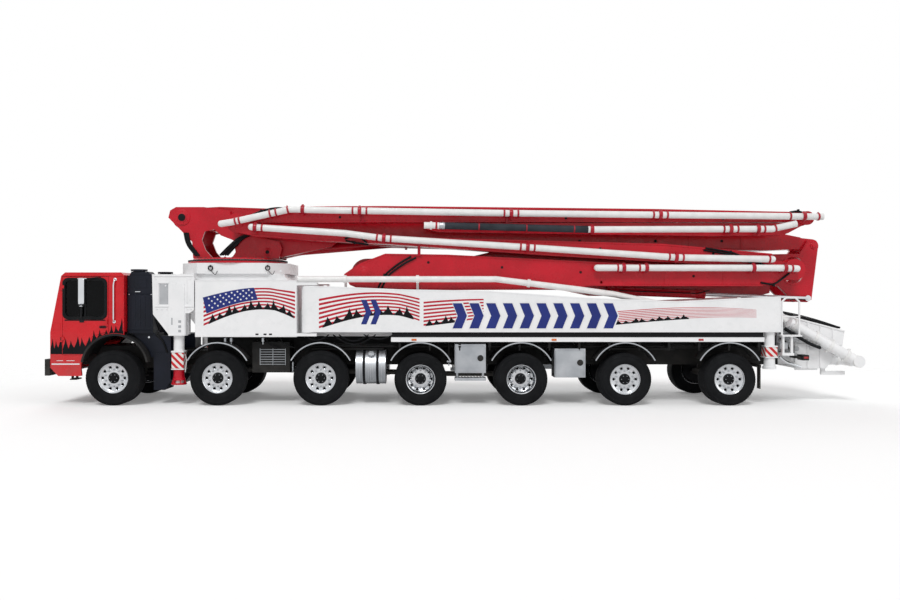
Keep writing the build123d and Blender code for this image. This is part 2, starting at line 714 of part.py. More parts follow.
def make_arch_flares():
    """Black flares around the front wheels, the arch liners and the inner shields."""
    with BuildPart() as body:
        for side in (LEFT, RIGHT):
            eye((ARCH_X, ARCH_Z), ARCH_RADIUS, across(side, SHIELD_Y, TYRE_FACE - 5))
        for side in (LEFT, RIGHT):
            span = across(side, SHIELD_Y - 1, TYRE_FACE)
            eye((ARCH_X, ARCH_Z), ARCH_RADIUS - FLARE_DEPTH, span, Mode.SUBTRACT)
            block((-7700, -6000), span, (0, 872), Mode.SUBTRACT)
            # The liner stops higher than the flare, clear of the steered tyre
            block((-7700, -6000), across(side, SHIELD_Y - 1, 1010), (0, LINER_LOW), Mode.SUBTRACT)
        for side in (LEFT, RIGHT):
            block((-7480, -6200), across(side, SHIELD_Y, SHIELD_Y + 12), (700, LINER_LOW + 160))
            for x in (-7400.0, -6300.0):
                block((x - 25, x + 25), across(side, RAIL_OUTER + SEAT, SHIELD_Y + 1), (900, 940))
    return body.part


def make_side_boxes():
    """Fuel tank and two tool boxes on each side, all hung from the rails."""
    with BuildPart() as body:
        for side in (LEFT, RIGHT):
            block((-2050, -1470), across(side, 640, 1200), (560, 960))
            bar((-2050, side * 920, 760), (-1470, side * 920, 760), 345)
            block((-2050, -1470), across(side, RAIL_OUTER + SEAT, 640), (700, 900))
            for front, rear, low, high in ((-70, 550, 650, 1230), (1930, 2550, 560, 1140)):
                block((front, rear), across(side, 800, 1190), (low, high))
                if side == LEFT:
                    block(
                        (front + 20, rear - 20),
                        across(side, 830, 1191),
                        (low + 20, high - 20),
                        Mode.SUBTRACT,
                    )
                block((front, rear), across(side, RAIL_OUTER + SEAT, 800), (800, 900))
            block((-70, 550), across(side, 1000, 1240), (500, 560))
            for x in (-40.0, 480.0):
                block((x, x + 40), across(side, 1040, 1100), (560, 650))
    return body.part


def make_box_door(front, rear, low, high, side):
    """Door of a tool box."""
    with BuildPart() as body:
        block((front + 4, rear - 4), across(side, 1190 + SEAT, 1212), (low + 4, high - 4))
        bar((front + 3, side * 1213, low + 30), (front + 3, side * 1213, high - 30), 10)
    return body.part


def make_delivery_line():
    """Steel line from the hopper's outlet along the driver's side to the pedestal."""
    front = [(-3232.0, LINE_Y, LINE_Z), (760.0, LINE_Y, LINE_Z), (2400.0, -1105.5, 2332.0)]
    rear = [
        (2400.0 + SEAT, -1105.5, 2332.0),
        (2456.0, -1105.0, 2325.0),
        (3200.0, -905.0, 2230.0),
        (4100.0, -905.0, 2040.0),
        (6150.0, -905.0, 1990.0),
        (6720.0, -850.0, 1690.0),
    ]
    with BuildPart() as body:
        # Two lengths that butt at a joint, so that neither one bridges the bend
        for line in (front, rear):
            pipe_run(line, LINE_RADIUS)
        for place, run in (
            ((-820.0, LINE_Y, LINE_Z), (1, 0, 0)),
            ((1420.0, -1114.2, 2453.3), (1696, 15, -210)),
            ((-2280.0, LINE_Y, LINE_Z), (1, 0, 0)),
        ):
            coupling(place, run, LINE_RADIUS + 20, 60)
        # Posts that carry the line, each standing on its own bracket on the deck
        for x in POST_XS:
            block((x - 25, x + 25), (-985, -962), (BRACKET_TOP + SEAT, LINE_Z + 25))
            block((x - 25, x + 25), (-1060, -962), (LINE_Z - 25, LINE_Z + 25))
            block((x - 25, x + 25), (-985, -DECK_HALF - SEAT), (BRACKET_TOP - 80, BRACKET_TOP))
    return body.part


def make_hopper():
    """Open hopper with its pump cylinders, the outlet bend and the water box."""
    outer = [(6770, 1800), (8010, 1470), (7960, 1150), (7620, 700), (7020, 700), (6770, 1150)]
    inner = [(6800, 1830), (7985, 1500), (7935, 1160), (7600, 730), (7040, 730), (6800, 1160)]
    half, wall = 690.0, 25.0
    with BuildPart() as body:
        slab(outer, (-half, half))
        slab(inner, (-half + wall, half - wall), Mode.SUBTRACT)
        # Rounded delivery cylinders between the rails
        for y in (-160.0, 160.0):
            bar((3900, y, 1210), (6770, y, 1210), 125)
        block((5100, 5500), (-300, 300), (1075, 1340))
        # Outlet bend that climbs along the driver's side
        bar((OUTLET_X, -850, OUTLET_Z), (6790, -850, 1652), OUTLET_RADIUS - 4)
        bar((OUTLET_X, -966, OUTLET_Z), (OUTLET_X, -296, OUTLET_Z), OUTLET_RADIUS)
        bar((OUTLET_X, -412, OUTLET_Z), (7640, -412, OUTLET_Z), OUTLET_RADIUS - 6)
        # Arms and rod that carry the splash cover
        for side in (LEFT, RIGHT):
            slab([(6590, 1890), (6640, 1910), (6900, 1700), (6830, 1640)], across(side, 704, 730))
            block((6830, 6880), across(side, half - 5, 710), (1650, 1690))
        bar((LID_X, -725, LID_Z), (LID_X, 725, LID_Z), LID_ROD)
        # Mixer drive on the far side and its bearing on the near side
        bar((7350, half, 1050), (7350, half + 230, 1050), 110)
        # Frame arms under the hopper
        for side in (LEFT, RIGHT):
            block((RAIL_REAR + SEAT, 7100), across(side, RAIL_INNER, RAIL_OUTER), (780, 1040))
            block((7600, 8050), across(side, 560, 620), (560, 640))
            block((7560, 7640), across(side, 560, 620), (560, 760))
    return body.part


def make_hopper_lid():
    """Rubber splash cover that hinges along its front edge."""
    with BuildPart() as body:
        slab([(6620, 1900), (7920, 1560), (7912, 1528), (6612, 1868)], (-700, 700))
        eye((LID_X, LID_Z), LID_ROD + 14, (-700, 700))
        eye((LID_X, LID_Z), LID_ROD + RUN, (-701, 701), Mode.SUBTRACT)
    return body.part


def make_rear_steps():
    """Rear platforms with rails, one beside each jack, and their lamps' brackets."""
    with BuildPart() as body:
        for side in (LEFT, RIGHT):
            y = side * 1130.0
            block((6500, 6735), across(side, RAIL_OUTER + SEAT, 700), (1000, 1050))
            block((6500, 6735), across(side, 700, 1200), (1000, 1050))
            block((6520, 6560), across(side, 1100, 1160), (1050, 1380))
            block((6690, 6730), across(side, 1100, 1160), (1050, 1380))
            block((6500, 6900), across(side, 980, 1200), (1380, 1410))
            pipe_run(
                [
                    (6520.0, y, 1410.0),
                    (6520.0, y, 2080.0),
                    (6600.0, y, 2160.0),
                    (6790.0, y, 2160.0),
                    (6870.0, y, 2080.0),
                    (6870.0, y, 1410.0),
                ],
                19,
            )
    return body.part


# Outriggers


def make_front_leg(side):
    """Slanted beam with the upright head that holds the jack."""
    low, high = LEG_LEVELS[side]
    start = leg_start(side) + leg_inward(side) * 60
    head = [
        (-6130, 2630),
        (-5292, 2630),
        (-5292, 1920),
        (-5390, 1850),
        (-5462, 1850),
        (-5462, 1400),
        (-5780, 1400),
        (-6112, 1830),
    ]
    with BuildPart() as body:
        plan_slab(strip(start, leg_inward(side), LEG_BEAM_LENGTH - 60, LEG_BEAM_HALF), (low, high))
        slab(head, across(side, 1060, HALF_WIDTH - 20))
        # Square column on the outside of the head plate
        block((-5790, -5480), across(side, 1061, HALF_WIDTH - 4), (1401, 2440))
        block((LEG_HEAD_X - 190, LEG_HEAD_X + 190), across(side, 930, 1060), (1420, 2420))
        bar(
            (LEG_HEAD_X, side * LEG_HEAD_Y, 1420),
            (LEG_HEAD_X, side * LEG_HEAD_Y, 2480),
            JACK_SLEEVE,
        )
        bar(
            (LEG_HEAD_X, side * LEG_HEAD_Y, 1300),
            (LEG_HEAD_X, side * LEG_HEAD_Y, 2300),
            JACK_RADIUS + RUN,
            Mode.SUBTRACT,
        )
    return body.part


def make_front_jack(side):
    """Front jack with its round foot."""
    y = side * LEG_HEAD_Y
    with BuildPart() as body:
        bar((LEG_HEAD_X, y, 520), (LEG_HEAD_X, y, 2280), JACK_RADIUS)
        bar((LEG_HEAD_X, y, 410), (LEG_HEAD_X, y, 440), FOOT_RADIUS)
        bar((LEG_HEAD_X, y, 440), (LEG_HEAD_X, y, 520), FOOT_RADIUS - 60)
    return body.part


def make_rear_leg(side):
    """Long side panel that swings out about its post, with the rear jack's sleeve."""
    outline = [
        (POST_X, PANEL_LOW),
        (POST_X, 2390),
        (-2560, 2390),
        (-1170, 2330),
        (600, 2300),
        (2430, 2170),
        (4370, 2090),
        (PANEL_REAR, 2190),
        (PANEL_REAR, PANEL_LOW),
    ]
    y = side * REAR_JACK_Y
    with BuildPart() as body:
        slab(outline, across(side, PANEL_INNER, HALF_WIDTH))
        bar((POST_X, side * POST_Y, POST_LOW), (POST_X, side * POST_Y, POST_HIGH), POST_RADIUS)
        bar(
            (POST_X, side * POST_Y, POST_LOW - 1),
            (POST_X, side * POST_Y, POST_HIGH + 1),
            POST_PIN + RUN,
            Mode.SUBTRACT,
        )
        bar(
            (REAR_JACK_X, y, PANEL_LOW - 1),
            (REAR_JACK_X, y, 2120),
            REAR_JACK_HALF - 30 + RUN,
            Mode.SUBTRACT,
        )
        # Raised ribs along the panel's top edge
        block((-2700, -2640), across(side, PANEL_INNER + 20, HALF_WIDTH - 30), (2380, 2410))
    return body.part


def make_rear_jack(side):
    """Rear jack with its striped foot."""
    y = side * REAR_JACK_Y
    with BuildPart() as body:
        bar((REAR_JACK_X, y, 780), (REAR_JACK_X, y, 2100), REAR_JACK_HALF - 30)
        bar((REAR_JACK_X, y, 730), (REAR_JACK_X, y, 780), REAR_JACK_HALF)
    return body.part


# Boom


def make_turret():
    """Slewing turret: two tall side plates, the base and the boom's root pin."""
    plate = [
        (-6040, 3840),
        (-6000, 3990),
        (-5880, 4060),
        (-5300, 4060),
        (-4760, 3990),
        (-4640, 3560),
        (-3720, 3330),
        (-3660, 3200),
        (-3720, 2985),
        (-5520, 2985),
        (-5540, 3330),
    ]
    window = [
        (-5340, 3365),
        (-5277, 3550),
        (-5070, 3590),
        (-4940, 3465),
        (-4680, 3365),
        (-4630, 3115),
        (-4710, 2995),
        (-5110, 2995),
        (-5256, 3155),
    ]
    plate_in, plate_out = 420.0, 480.0
    with BuildPart() as body:
        bar((RING_X, 0, RING_TOP + SEAT), (RING_X, 0, 2985), RING_RADIUS - 60)
        for side in (LEFT, RIGHT):
            slab(plate, across(side, plate_in, plate_out))
        slab(window, (-plate_out - 1, plate_out + 1), Mode.SUBTRACT)
        eye(LUFF_PIN, 90, (-plate_out - 15, plate_out + 15))
        block((-5500, -5440), (-plate_in, plate_in), (2985, 3300))
        # Rear foot that carries the luffing cylinder between two cheeks
        for side in (LEFT, RIGHT):
            slab([(-4150, 2985), (-4060, 3200), (-3850, 3200), (-3760, 2985)], across(side, 95, 130))
        eye(LUFF_FOOT, LUFF_FOOT_PIN, (-135, 135))
    return body.part


def luff_point(reach):
    """Point on the luffing cylinder's middle line, a distance from its foot pin."""
    x, z = LUFF_FOOT
    run = Vector(LUFF_HEAD[0] - x, 0, LUFF_HEAD[1] - z)
    run = run.normalized() * reach
    return (x + run.X, 0, z + run.Z)


def make_luff_barrel():
    """Barrel of the luffing cylinder."""
    with BuildPart() as body:
        bar(luff_point(0), luff_point(BARREL_LENGTH), BARREL_RADIUS)
        eye(LUFF_FOOT, BARREL_RADIUS - 5, (-90, 90))
        eye(LUFF_FOOT, LUFF_FOOT_PIN + RUN, (-96, 96), Mode.SUBTRACT)
        bar(luff_point(200), luff_point(BARREL_LENGTH + 10), ROD_RADIUS + RUN, Mode.SUBTRACT)
    return body.part


def make_luff_rod():
    """Rod of the luffing cylinder with its eye."""
    full = (Vector(luff_point(0)) - Vector(LUFF_HEAD[0], 0, LUFF_HEAD[1])).length
    with BuildPart() as body:
        bar(luff_point(320), luff_point(full), ROD_RADIUS)
        eye(LUFF_HEAD, 85, (-60, 60))
    return body.part


def make_boom_a():
    """First section: from the turret's pin back to the hinge with the second section."""
    outline = [
        (-5750, 4040),
        (-5000, 4080),
        (-3000, 4010),
        (2000, 3760),
        (6700, 3560),
        (7300, 3440),
        (7300, 3200),
        (6500, 3160),
        (1100, 3185),
        (-1550, 3250),
        (-3300, 3420),
        (-5750, 3620),
    ]
    with BuildPart() as body:
        slab(outline, (-BOX_A_HALF, BOX_A_HALF))
        eye(LUFF_PIN, 230, (-ROOT_HALF, ROOT_HALF))
        eye(LUFF_PIN, 90 + RUN, (-ROOT_HALF - 1, ROOT_HALF + 1), Mode.SUBTRACT)
        # Cheeks of the root, and the open well between them for the luffing cylinder
        for side in (LEFT, RIGHT):
            slab(
                [(-4330, 3520), (-4080, 3290), (-3900, 3010), (-3770, 3000), (-2660, 3235), (-2400, 3420)],
                across(side, WELL_HALF, BOX_A_HALF),
            )
        slab(
            [(-4420, 2990), (-4420, 3330), (WELL_END, 3570), (WELL_END, 2990)],
            (-WELL_HALF, WELL_HALF),
            Mode.SUBTRACT,
        )
        for side in (LEFT, RIGHT):
            eye(LUFF_HEAD, 90, across(side, 70, WELL_HALF))
            # The rear end narrows to a tongue for the hinge
            block((6520, 7800), across(side, 250, 420), (3000, 4000), Mode.SUBTRACT)
        eye(PIN_AB, 140, (-250, 250))
        slab([(7200, 3200), (7200, 3440), (7560, 3400), (7560, 3120)], (-250, 250))
        eye(PIN_AB, PIN_RADIUS + RUN, (-251, 251), Mode.SUBTRACT)
    return body.part


def fold_point(x):
    """Point on the fold cylinder's middle line at an X value."""
    share = (x - FOLD_FOOT[0]) / (FOLD_HEAD[0] - FOLD_FOOT[0])
    return (x, FOLD_Y, FOLD_FOOT[1] + share * (FOLD_HEAD[1] - FOLD_FOOT[1]))


def make_boom_b():
    """Second section under the first, with tall slotted end plates and the cross shaft."""
    outline = [
        (-1900, 2990),
        (-1400, 2995),
        (150, 2995),
        (700, 3125),
        (6400, 3105),
        (6640, 2960),
        (6640, 2260),
        (6400, 2200),
        (2900, 2200),
        (2300, 2330),
        (-1900, 2330),
    ]
    end_plate = [
        (6610, 3080),
        (7240, 3090),
        (7420, 3370),
        (7600, 3370),
        (7640, 3240),
        (7500, 2120),
        (7400, 2066),
        (7120, 2075),
        (6800, 2400),
        (6610, 2450),
    ]
    plate_in, plate_out = BOX_B_HALF + 2, BOX_B_HALF + 60
    with BuildPart() as body:
        slab(outline, (-BOX_B_HALF, BOX_B_HALF))
        eye(PIN_BC, 330, (-BOX_B_HALF, BOX_B_HALF))
        for side in (LEFT, RIGHT):
            slab(end_plate, across(side, plate_in - 10, plate_out))
        # The open eye between the end plates
        eye((7115, 2830), 200, (-400, 400), Mode.SUBTRACT)
        eye((7115, 2660), 200, (-400, 400), Mode.SUBTRACT)
        block((6915, 7315), (-400, 400), (2660, 2830), Mode.SUBTRACT)
        # Pins of the hinge with the first section and of the fold links
        eye(PIN_AB, PIN_RADIUS, (-plate_out - 12, plate_out + 12))
        eye(FOLD_HEAD, 45, (-plate_out - 12, plate_out + 12))
        # Cross shaft out to the third section's lane
        eye(PIN_BC, 150, (LANE_OUTER - 12, -BOX_B_HALF))
        # Barrel of the fold cylinder on the near side, held by its foot and a saddle
        bar(fold_point(FOLD_FOOT[0]), fold_point(FOLD_BARREL_END), FOLD_BARREL_RADIUS)
        for x in (FOLD_FOOT[0] + 60, FOLD_BARREL_END - 250):
            z = fold_point(x)[2]
            block((x - 50, x + 50), (FOLD_Y, -BOX_B_HALF + 5), (z - 60, z + 60))
        bar(
            fold_point(FOLD_FOOT[0] + 400),
            fold_point(FOLD_BARREL_END + 10),
            FOLD_ROD_RADIUS + RUN,
            Mode.SUBTRACT,
        )
    return body.part


def make_fold_rod():
    """Rod of the fold cylinder, its eye outside the near end plate."""
    with BuildPart() as body:
        bar(fold_point(FOLD_FOOT[0] + 1000), fold_point(FOLD_HEAD[0]), FOLD_ROD_RADIUS)
        eye(FOLD_HEAD, 62, (FOLD_Y - 32, FOLD_Y + 32))
    return body.part


def lane(inset):
    """The Y values of the outer boom lane, narrowed on both sides."""
    return (LANE_OUTER + inset, LANE_INNER - inset)


def make_boom_c():
    """Third section, low in the outer lane, hung on the second section's cross shaft."""
    outline = [
        (-1900, 2300),
        (-2200, 2420),
        (-2320, 2640),
        (-2000, 2860),
        (-1480, 3060),
        (-200, 3040),
        (2000, 2930),
        (6150, 2730),
        (6560, 2690),
        (6760, 2600),
        (6700, 2540),
        (6200, 2400),
        (2700, 2400),
        (2300, 2340),
    ]
    with BuildPart() as body:
        slab(outline, lane(0))
        eye(PIN_BC, 150 + RUN, (LANE_OUTER - 1, LANE_INNER + 1), Mode.SUBTRACT)
        eye(PIN_CD, 215, lane(0))
        slab([(6560, 2690), (6760, 2930), (6866, 2736), (6866, 2521), (6700, 2540)], lane(0))
        eye(PIN_CD, 330, lane(FORK_PLATE), Mode.SUBTRACT)
        eye(PIN_CD, PIN_RADIUS, lane(-8))
    return body.part


def make_boom_d():
    """Fourth section, slanting forward and up to the top of the stack."""
    tongue = FORK_PLATE + SIDE_GAP
    outline = [
        (6480, 2800),
        (6400, 3060),
        (4200, 3260),
        (0, 3370),
        (-900, 3400),
        (-4000, 3640),
        (-4230, 3600),
        (-4200, 3420),
        (-3000, 3330),
        (-1550, 3260),
        (2000, 3010),
        (6100, 2780),
    ]
    with BuildPart() as body:
        slab(outline, lane(0))
        slab(
            [(6480, 2780), (6300, 2940), (6700, 2900), (6930, 2800), (6866, 2560), (6760, 2600)],
            lane(tongue),
        )
        eye(PIN_CD, 185, lane(tongue))
        eye(PIN_CD, PIN_RADIUS + RUN, lane(tongue - 1), Mode.SUBTRACT)
        eye(PIN_DE, 200, lane(0))
        slab([(-4507, 3490), (-4600, 3640), (-4400, 3830), (-4180, 3600), (-4160, 3430)], lane(0))
        eye(PIN_DE, 345, lane(FORK_PLATE), Mode.SUBTRACT)
        eye(PIN_DE, PIN_RADIUS, lane(-8))
    return body.part


def make_boom_e():
    """Fifth section along the top, with a fork at the rear for the last one."""
    tongue = FORK_PLATE + SIDE_GAP
    outline = [
        (-4090, 3720),
        (-4050, 3880),
        (-3500, 4020),
        (-1500, 4030),
        (4000, 3970),
        (6700, 3912),
        (6890, 3902),
        (6850, 3700),
        (-1000, 3700),
        (-4000, 3690),
    ]
    with BuildPart() as body:
        slab(outline, lane(0))
        slab(
            [(-4507, 3520), (-4640, 3760), (-4400, 3850), (-4050, 3880), (-4000, 3690), (-4280, 3625)],
            lane(tongue),
        )
        eye(PIN_DE, 170, lane(tongue))
        eye(PIN_DE, PIN_RADIUS + RUN, lane(tongue - 1), Mode.SUBTRACT)
        eye(PIN_EF, 140, lane(0))
        slab([(6850, 3720), (6850, 3902), (7120, 3926), (7120, 3646)], lane(0))
        eye(PIN_EF, 400, lane(FORK_PLATE), Mode.SUBTRACT)
        eye(PIN_EF, PIN_RADIUS, lane(-8))
    return body.part


def make_boom_f():
    """Last section, under the fifth, from the rear hinge to the end hose."""
    tongue = FORK_PLATE + SIDE_GAP
    outline = [
        (-640, 3640),
        (-640, 3560),
        (-400, 3500),
        (5200, 3420),
        (6650, 3440),
        (6810, 3520),
        (6790, 3680),
        (6550, 3688),
        (0, 3688),
    ]
    with BuildPart() as body:
        slab(outline, lane(40))
        slab([(6750, 3480), (6750, 3660), (7050, 3880), (7225, 3720), (7050, 3640)], lane(tongue))
        eye(PIN_EF, 120, lane(tongue))
        eye(PIN_EF, PIN_RADIUS + RUN, lane(tongue - 1), Mode.SUBTRACT)
    return body.part


class Line(NamedTuple):
    """The pipe on one boom section: its X, Z corners and where its clamps sit."""

    section: str
    corners: tuple
    clamps: tuple


LINES = (
    Line("c", ((2806, 2765), (6500, 2762), (6846, 2750)), (3340, 3800, 5960, 6600)),
    Line(
        "d",
        ((6350, 2940), (4400, 2975), (1392, 3180), (-1517, 3362), (-2285, 3463), (-4180, 3589)),
        (-4100, -1500, 1400, 4400),
    ),
    Line(
        "e",
        ((-4790, 3655), (-4560, 3690), (-3396, 3948), (-2629, 3928), (1048, 3867), (7370, 3797)),
        (-3140, -1990, 1070, 4080, 6980),
    ),
    Line("f", ((-689, 3625), (2664, 3540), (6341, 3550), (6830, 3658)), (2700, 5500, 6050)),
)


def line_height(corners, x):
    """Height of a pipe's middle at an X value, with the run there."""
    ordered = sorted(corners)
    for (x0, z0), (x1, z1) in zip(ordered, ordered[1:]):
        if x0 <= x <= x1:
            return z0 + (z1 - z0) * (x - x0) / (x1 - x0), (x1 - x0, 0, z1 - z0)
    return ordered[-1][1], (1, 0, 0)


def make_boom_line(line):
    """Delivery pipe of one section with its clamps and stand-off blocks."""
    with BuildPart() as body:
        pipe_run([(x, PIPE_LANE, z) for x, z in line.corners], PIPE_RADIUS)
        for x in line.clamps:
            z, run = line_height(line.corners, x)
            coupling((x, PIPE_LANE, z), run, COUPLING_RADIUS)
            inner = LANE_OUTER - SEAT + (40 if line.section == "f" else 0)
            block((x - 30, x + 30), (PIPE_LANE, inner), (z - 30, z + 30))
        if line.section == "f":
            # Stop collar behind the free end, which the clamp of the end hose holds
            x = line.corners[0][0] + SPIGOT_LENGTH + SPIGOT_COLLAR / 2
            z, run = line_height(line.corners, x)
            coupling((x, PIPE_LANE, z), run, COUPLING_RADIUS, SPIGOT_COLLAR)
    return body.part


# What is written: file name and finished shape

made = {
    "chassis_frame": make_chassis(),
    "driveline": make_driveline(),
    "cab_shell": make_cab_shell(),
    "cab_glass": make_cab_glass(),
    "cab_interior": make_cab_interior(),
    "front_bumper": make_bumper(),
    "air_stack": make_air_stack(),
    "arch_flares": make_arch_flares(),
    "mudguards": make_mudguards(),
    "side_boxes": make_side_boxes(),
    "pedestal": make_pedestal(),
    "rear_deck": make_rear_deck(),
    "delivery_line": make_delivery_line(),
    "hopper": make_hopper(),
    "hopper_lid": make_hopper_lid(),
    "rear_steps": make_rear_steps(),
    "turret": make_turret(),
    "luff_barrel": make_luff_barrel(),
    "luff_rod": make_luff_rod(),
    "boom_a": make_boom_a(),
    "boom_b": make_boom_b(),
    "fold_rod": make_fold_rod(),
    "boom_c": make_boom_c(),
    "boom_d": make_boom_d(),
    "boom_e": make_boom_e(),
    "boom_f": make_boom_f(),
    "tool_door_front": make_box_door(-70, 550, 650, 1230, LEFT),
    "tool_door_rear": make_box_door(1930, 2550, 560, 1140, LEFT),
}
for boom_line in LINES:
    made[f"line_{boom_line.section}"] = make_boom_line(boom_line)
for word, side in (("left", LEFT), ("right", RIGHT)):
    made[f"door_{word}"] = make_door(side)
    made[f"door_glass_{word}"] = make_door_glass(side)
    made[f"knuckle_{word}"] = make_knuckle(side)
    made[f"front_leg_{word}"] = make_front_leg(side)
    made[f"front_jack_{word}"] = make_front_jack(side)
    made[f"rear_leg_{word}"] = make_rear_leg(side)
    made[f"rear_jack_{word}"] = make_rear_jack(side)
    for wheel in AXLES:
        made[f"wheel_{wheel.axle}_{word}"] = make_wheel(wheel, side)

os.makedirs("parts", exist_ok=True)
for name, shape in made.items():
    shape.label = name
    export_step(shape, f"parts/{name}.step")
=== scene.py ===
"""Looks of a seven-axle truck with a folding concrete boom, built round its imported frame.

Everything is in metres in the frame's own axes: X runs from the front bumper to the rear,
Y from the driver's side (-) to the far side (+), and Z up from the ground.
"""

from __future__ import annotations

import logging
import math
from dataclasses import dataclass, field
from enum import Enum
from functools import lru_cache
from typing import Any, Callable, ClassVar, Iterable, Sequence

import bpy
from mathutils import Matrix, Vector


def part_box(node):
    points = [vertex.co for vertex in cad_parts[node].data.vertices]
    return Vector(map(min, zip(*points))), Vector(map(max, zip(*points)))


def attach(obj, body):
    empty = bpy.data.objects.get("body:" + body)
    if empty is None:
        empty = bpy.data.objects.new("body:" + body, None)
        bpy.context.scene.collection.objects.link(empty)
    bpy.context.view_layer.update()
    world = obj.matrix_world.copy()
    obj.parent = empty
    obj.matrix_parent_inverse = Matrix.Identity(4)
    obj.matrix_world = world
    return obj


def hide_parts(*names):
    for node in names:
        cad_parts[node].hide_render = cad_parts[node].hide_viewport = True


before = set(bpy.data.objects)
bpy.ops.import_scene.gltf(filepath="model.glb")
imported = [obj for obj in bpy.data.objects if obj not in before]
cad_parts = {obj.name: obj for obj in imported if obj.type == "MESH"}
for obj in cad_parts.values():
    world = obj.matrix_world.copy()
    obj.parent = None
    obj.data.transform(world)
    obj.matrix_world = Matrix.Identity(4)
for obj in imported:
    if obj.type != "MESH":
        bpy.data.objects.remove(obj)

Point = Sequence[float]
Line = Sequence[tuple[float, float]]
Curve = Callable[[float], float]
Placer = Callable[[float, float, float], Point]
Link = bpy.types.NodeSocket
Tree = bpy.types.NodeTree

LOG = logging.getLogger("truck")
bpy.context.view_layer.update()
MM = 0.001


class Side(Enum):
    """The two sides of the truck, as the sign of Y."""

    LEFT = -1
    RIGHT = 1

    @property
    def word(self) -> str:
        """The side's name as the frame's nodes spell it."""
        return self.name.lower()


# ---------------------------------------------------------------- finishes


def linear(code: str) -> tuple[float, float, float, float]:
    """Turns an sRGB hex colour to the linear colour that a shader takes.

    Args:
        code: Six hex digits, with or without a leading #.

    Returns:
        Linear red, green, blue and an alpha of 1.
    """
    digits = code.lstrip("#")
    levels = [int(digits[i : i + 2], 16) / 255 for i in (0, 2, 4)]
    turned = [c / 12.92 if c <= 0.04045 else ((c + 0.055) / 1.055) ** 2.4 for c in levels]
    return (turned[0], turned[1], turned[2], 1.0)


def node(
    tree: Tree, kind: str, inputs: dict[Any, Any] | None = None, **settings: Any
) -> bpy.types.Node:
    """Adds one shader node with its settings, values and links.

    Args:
        tree: The tree that the node joins.
        kind: The node's type without its ShaderNode prefix.
        inputs: A value or an output socket for each input, by name or number.
        settings: The node's own properties.

    Returns:
        The node.
    """
    made = tree.nodes.new("ShaderNode" + kind)
    for name, value in settings.items():
        setattr(made, name, value)
    for name, value in (inputs or {}).items():
        if isinstance(value, bpy.types.NodeSocket):
            tree.links.new(value, made.inputs[name])
        else:
            made.inputs[name].default_value = value
    return made


MIX_FACTOR, MIX_A, MIX_B, MIX_RESULT = 0, 6, 7, 2


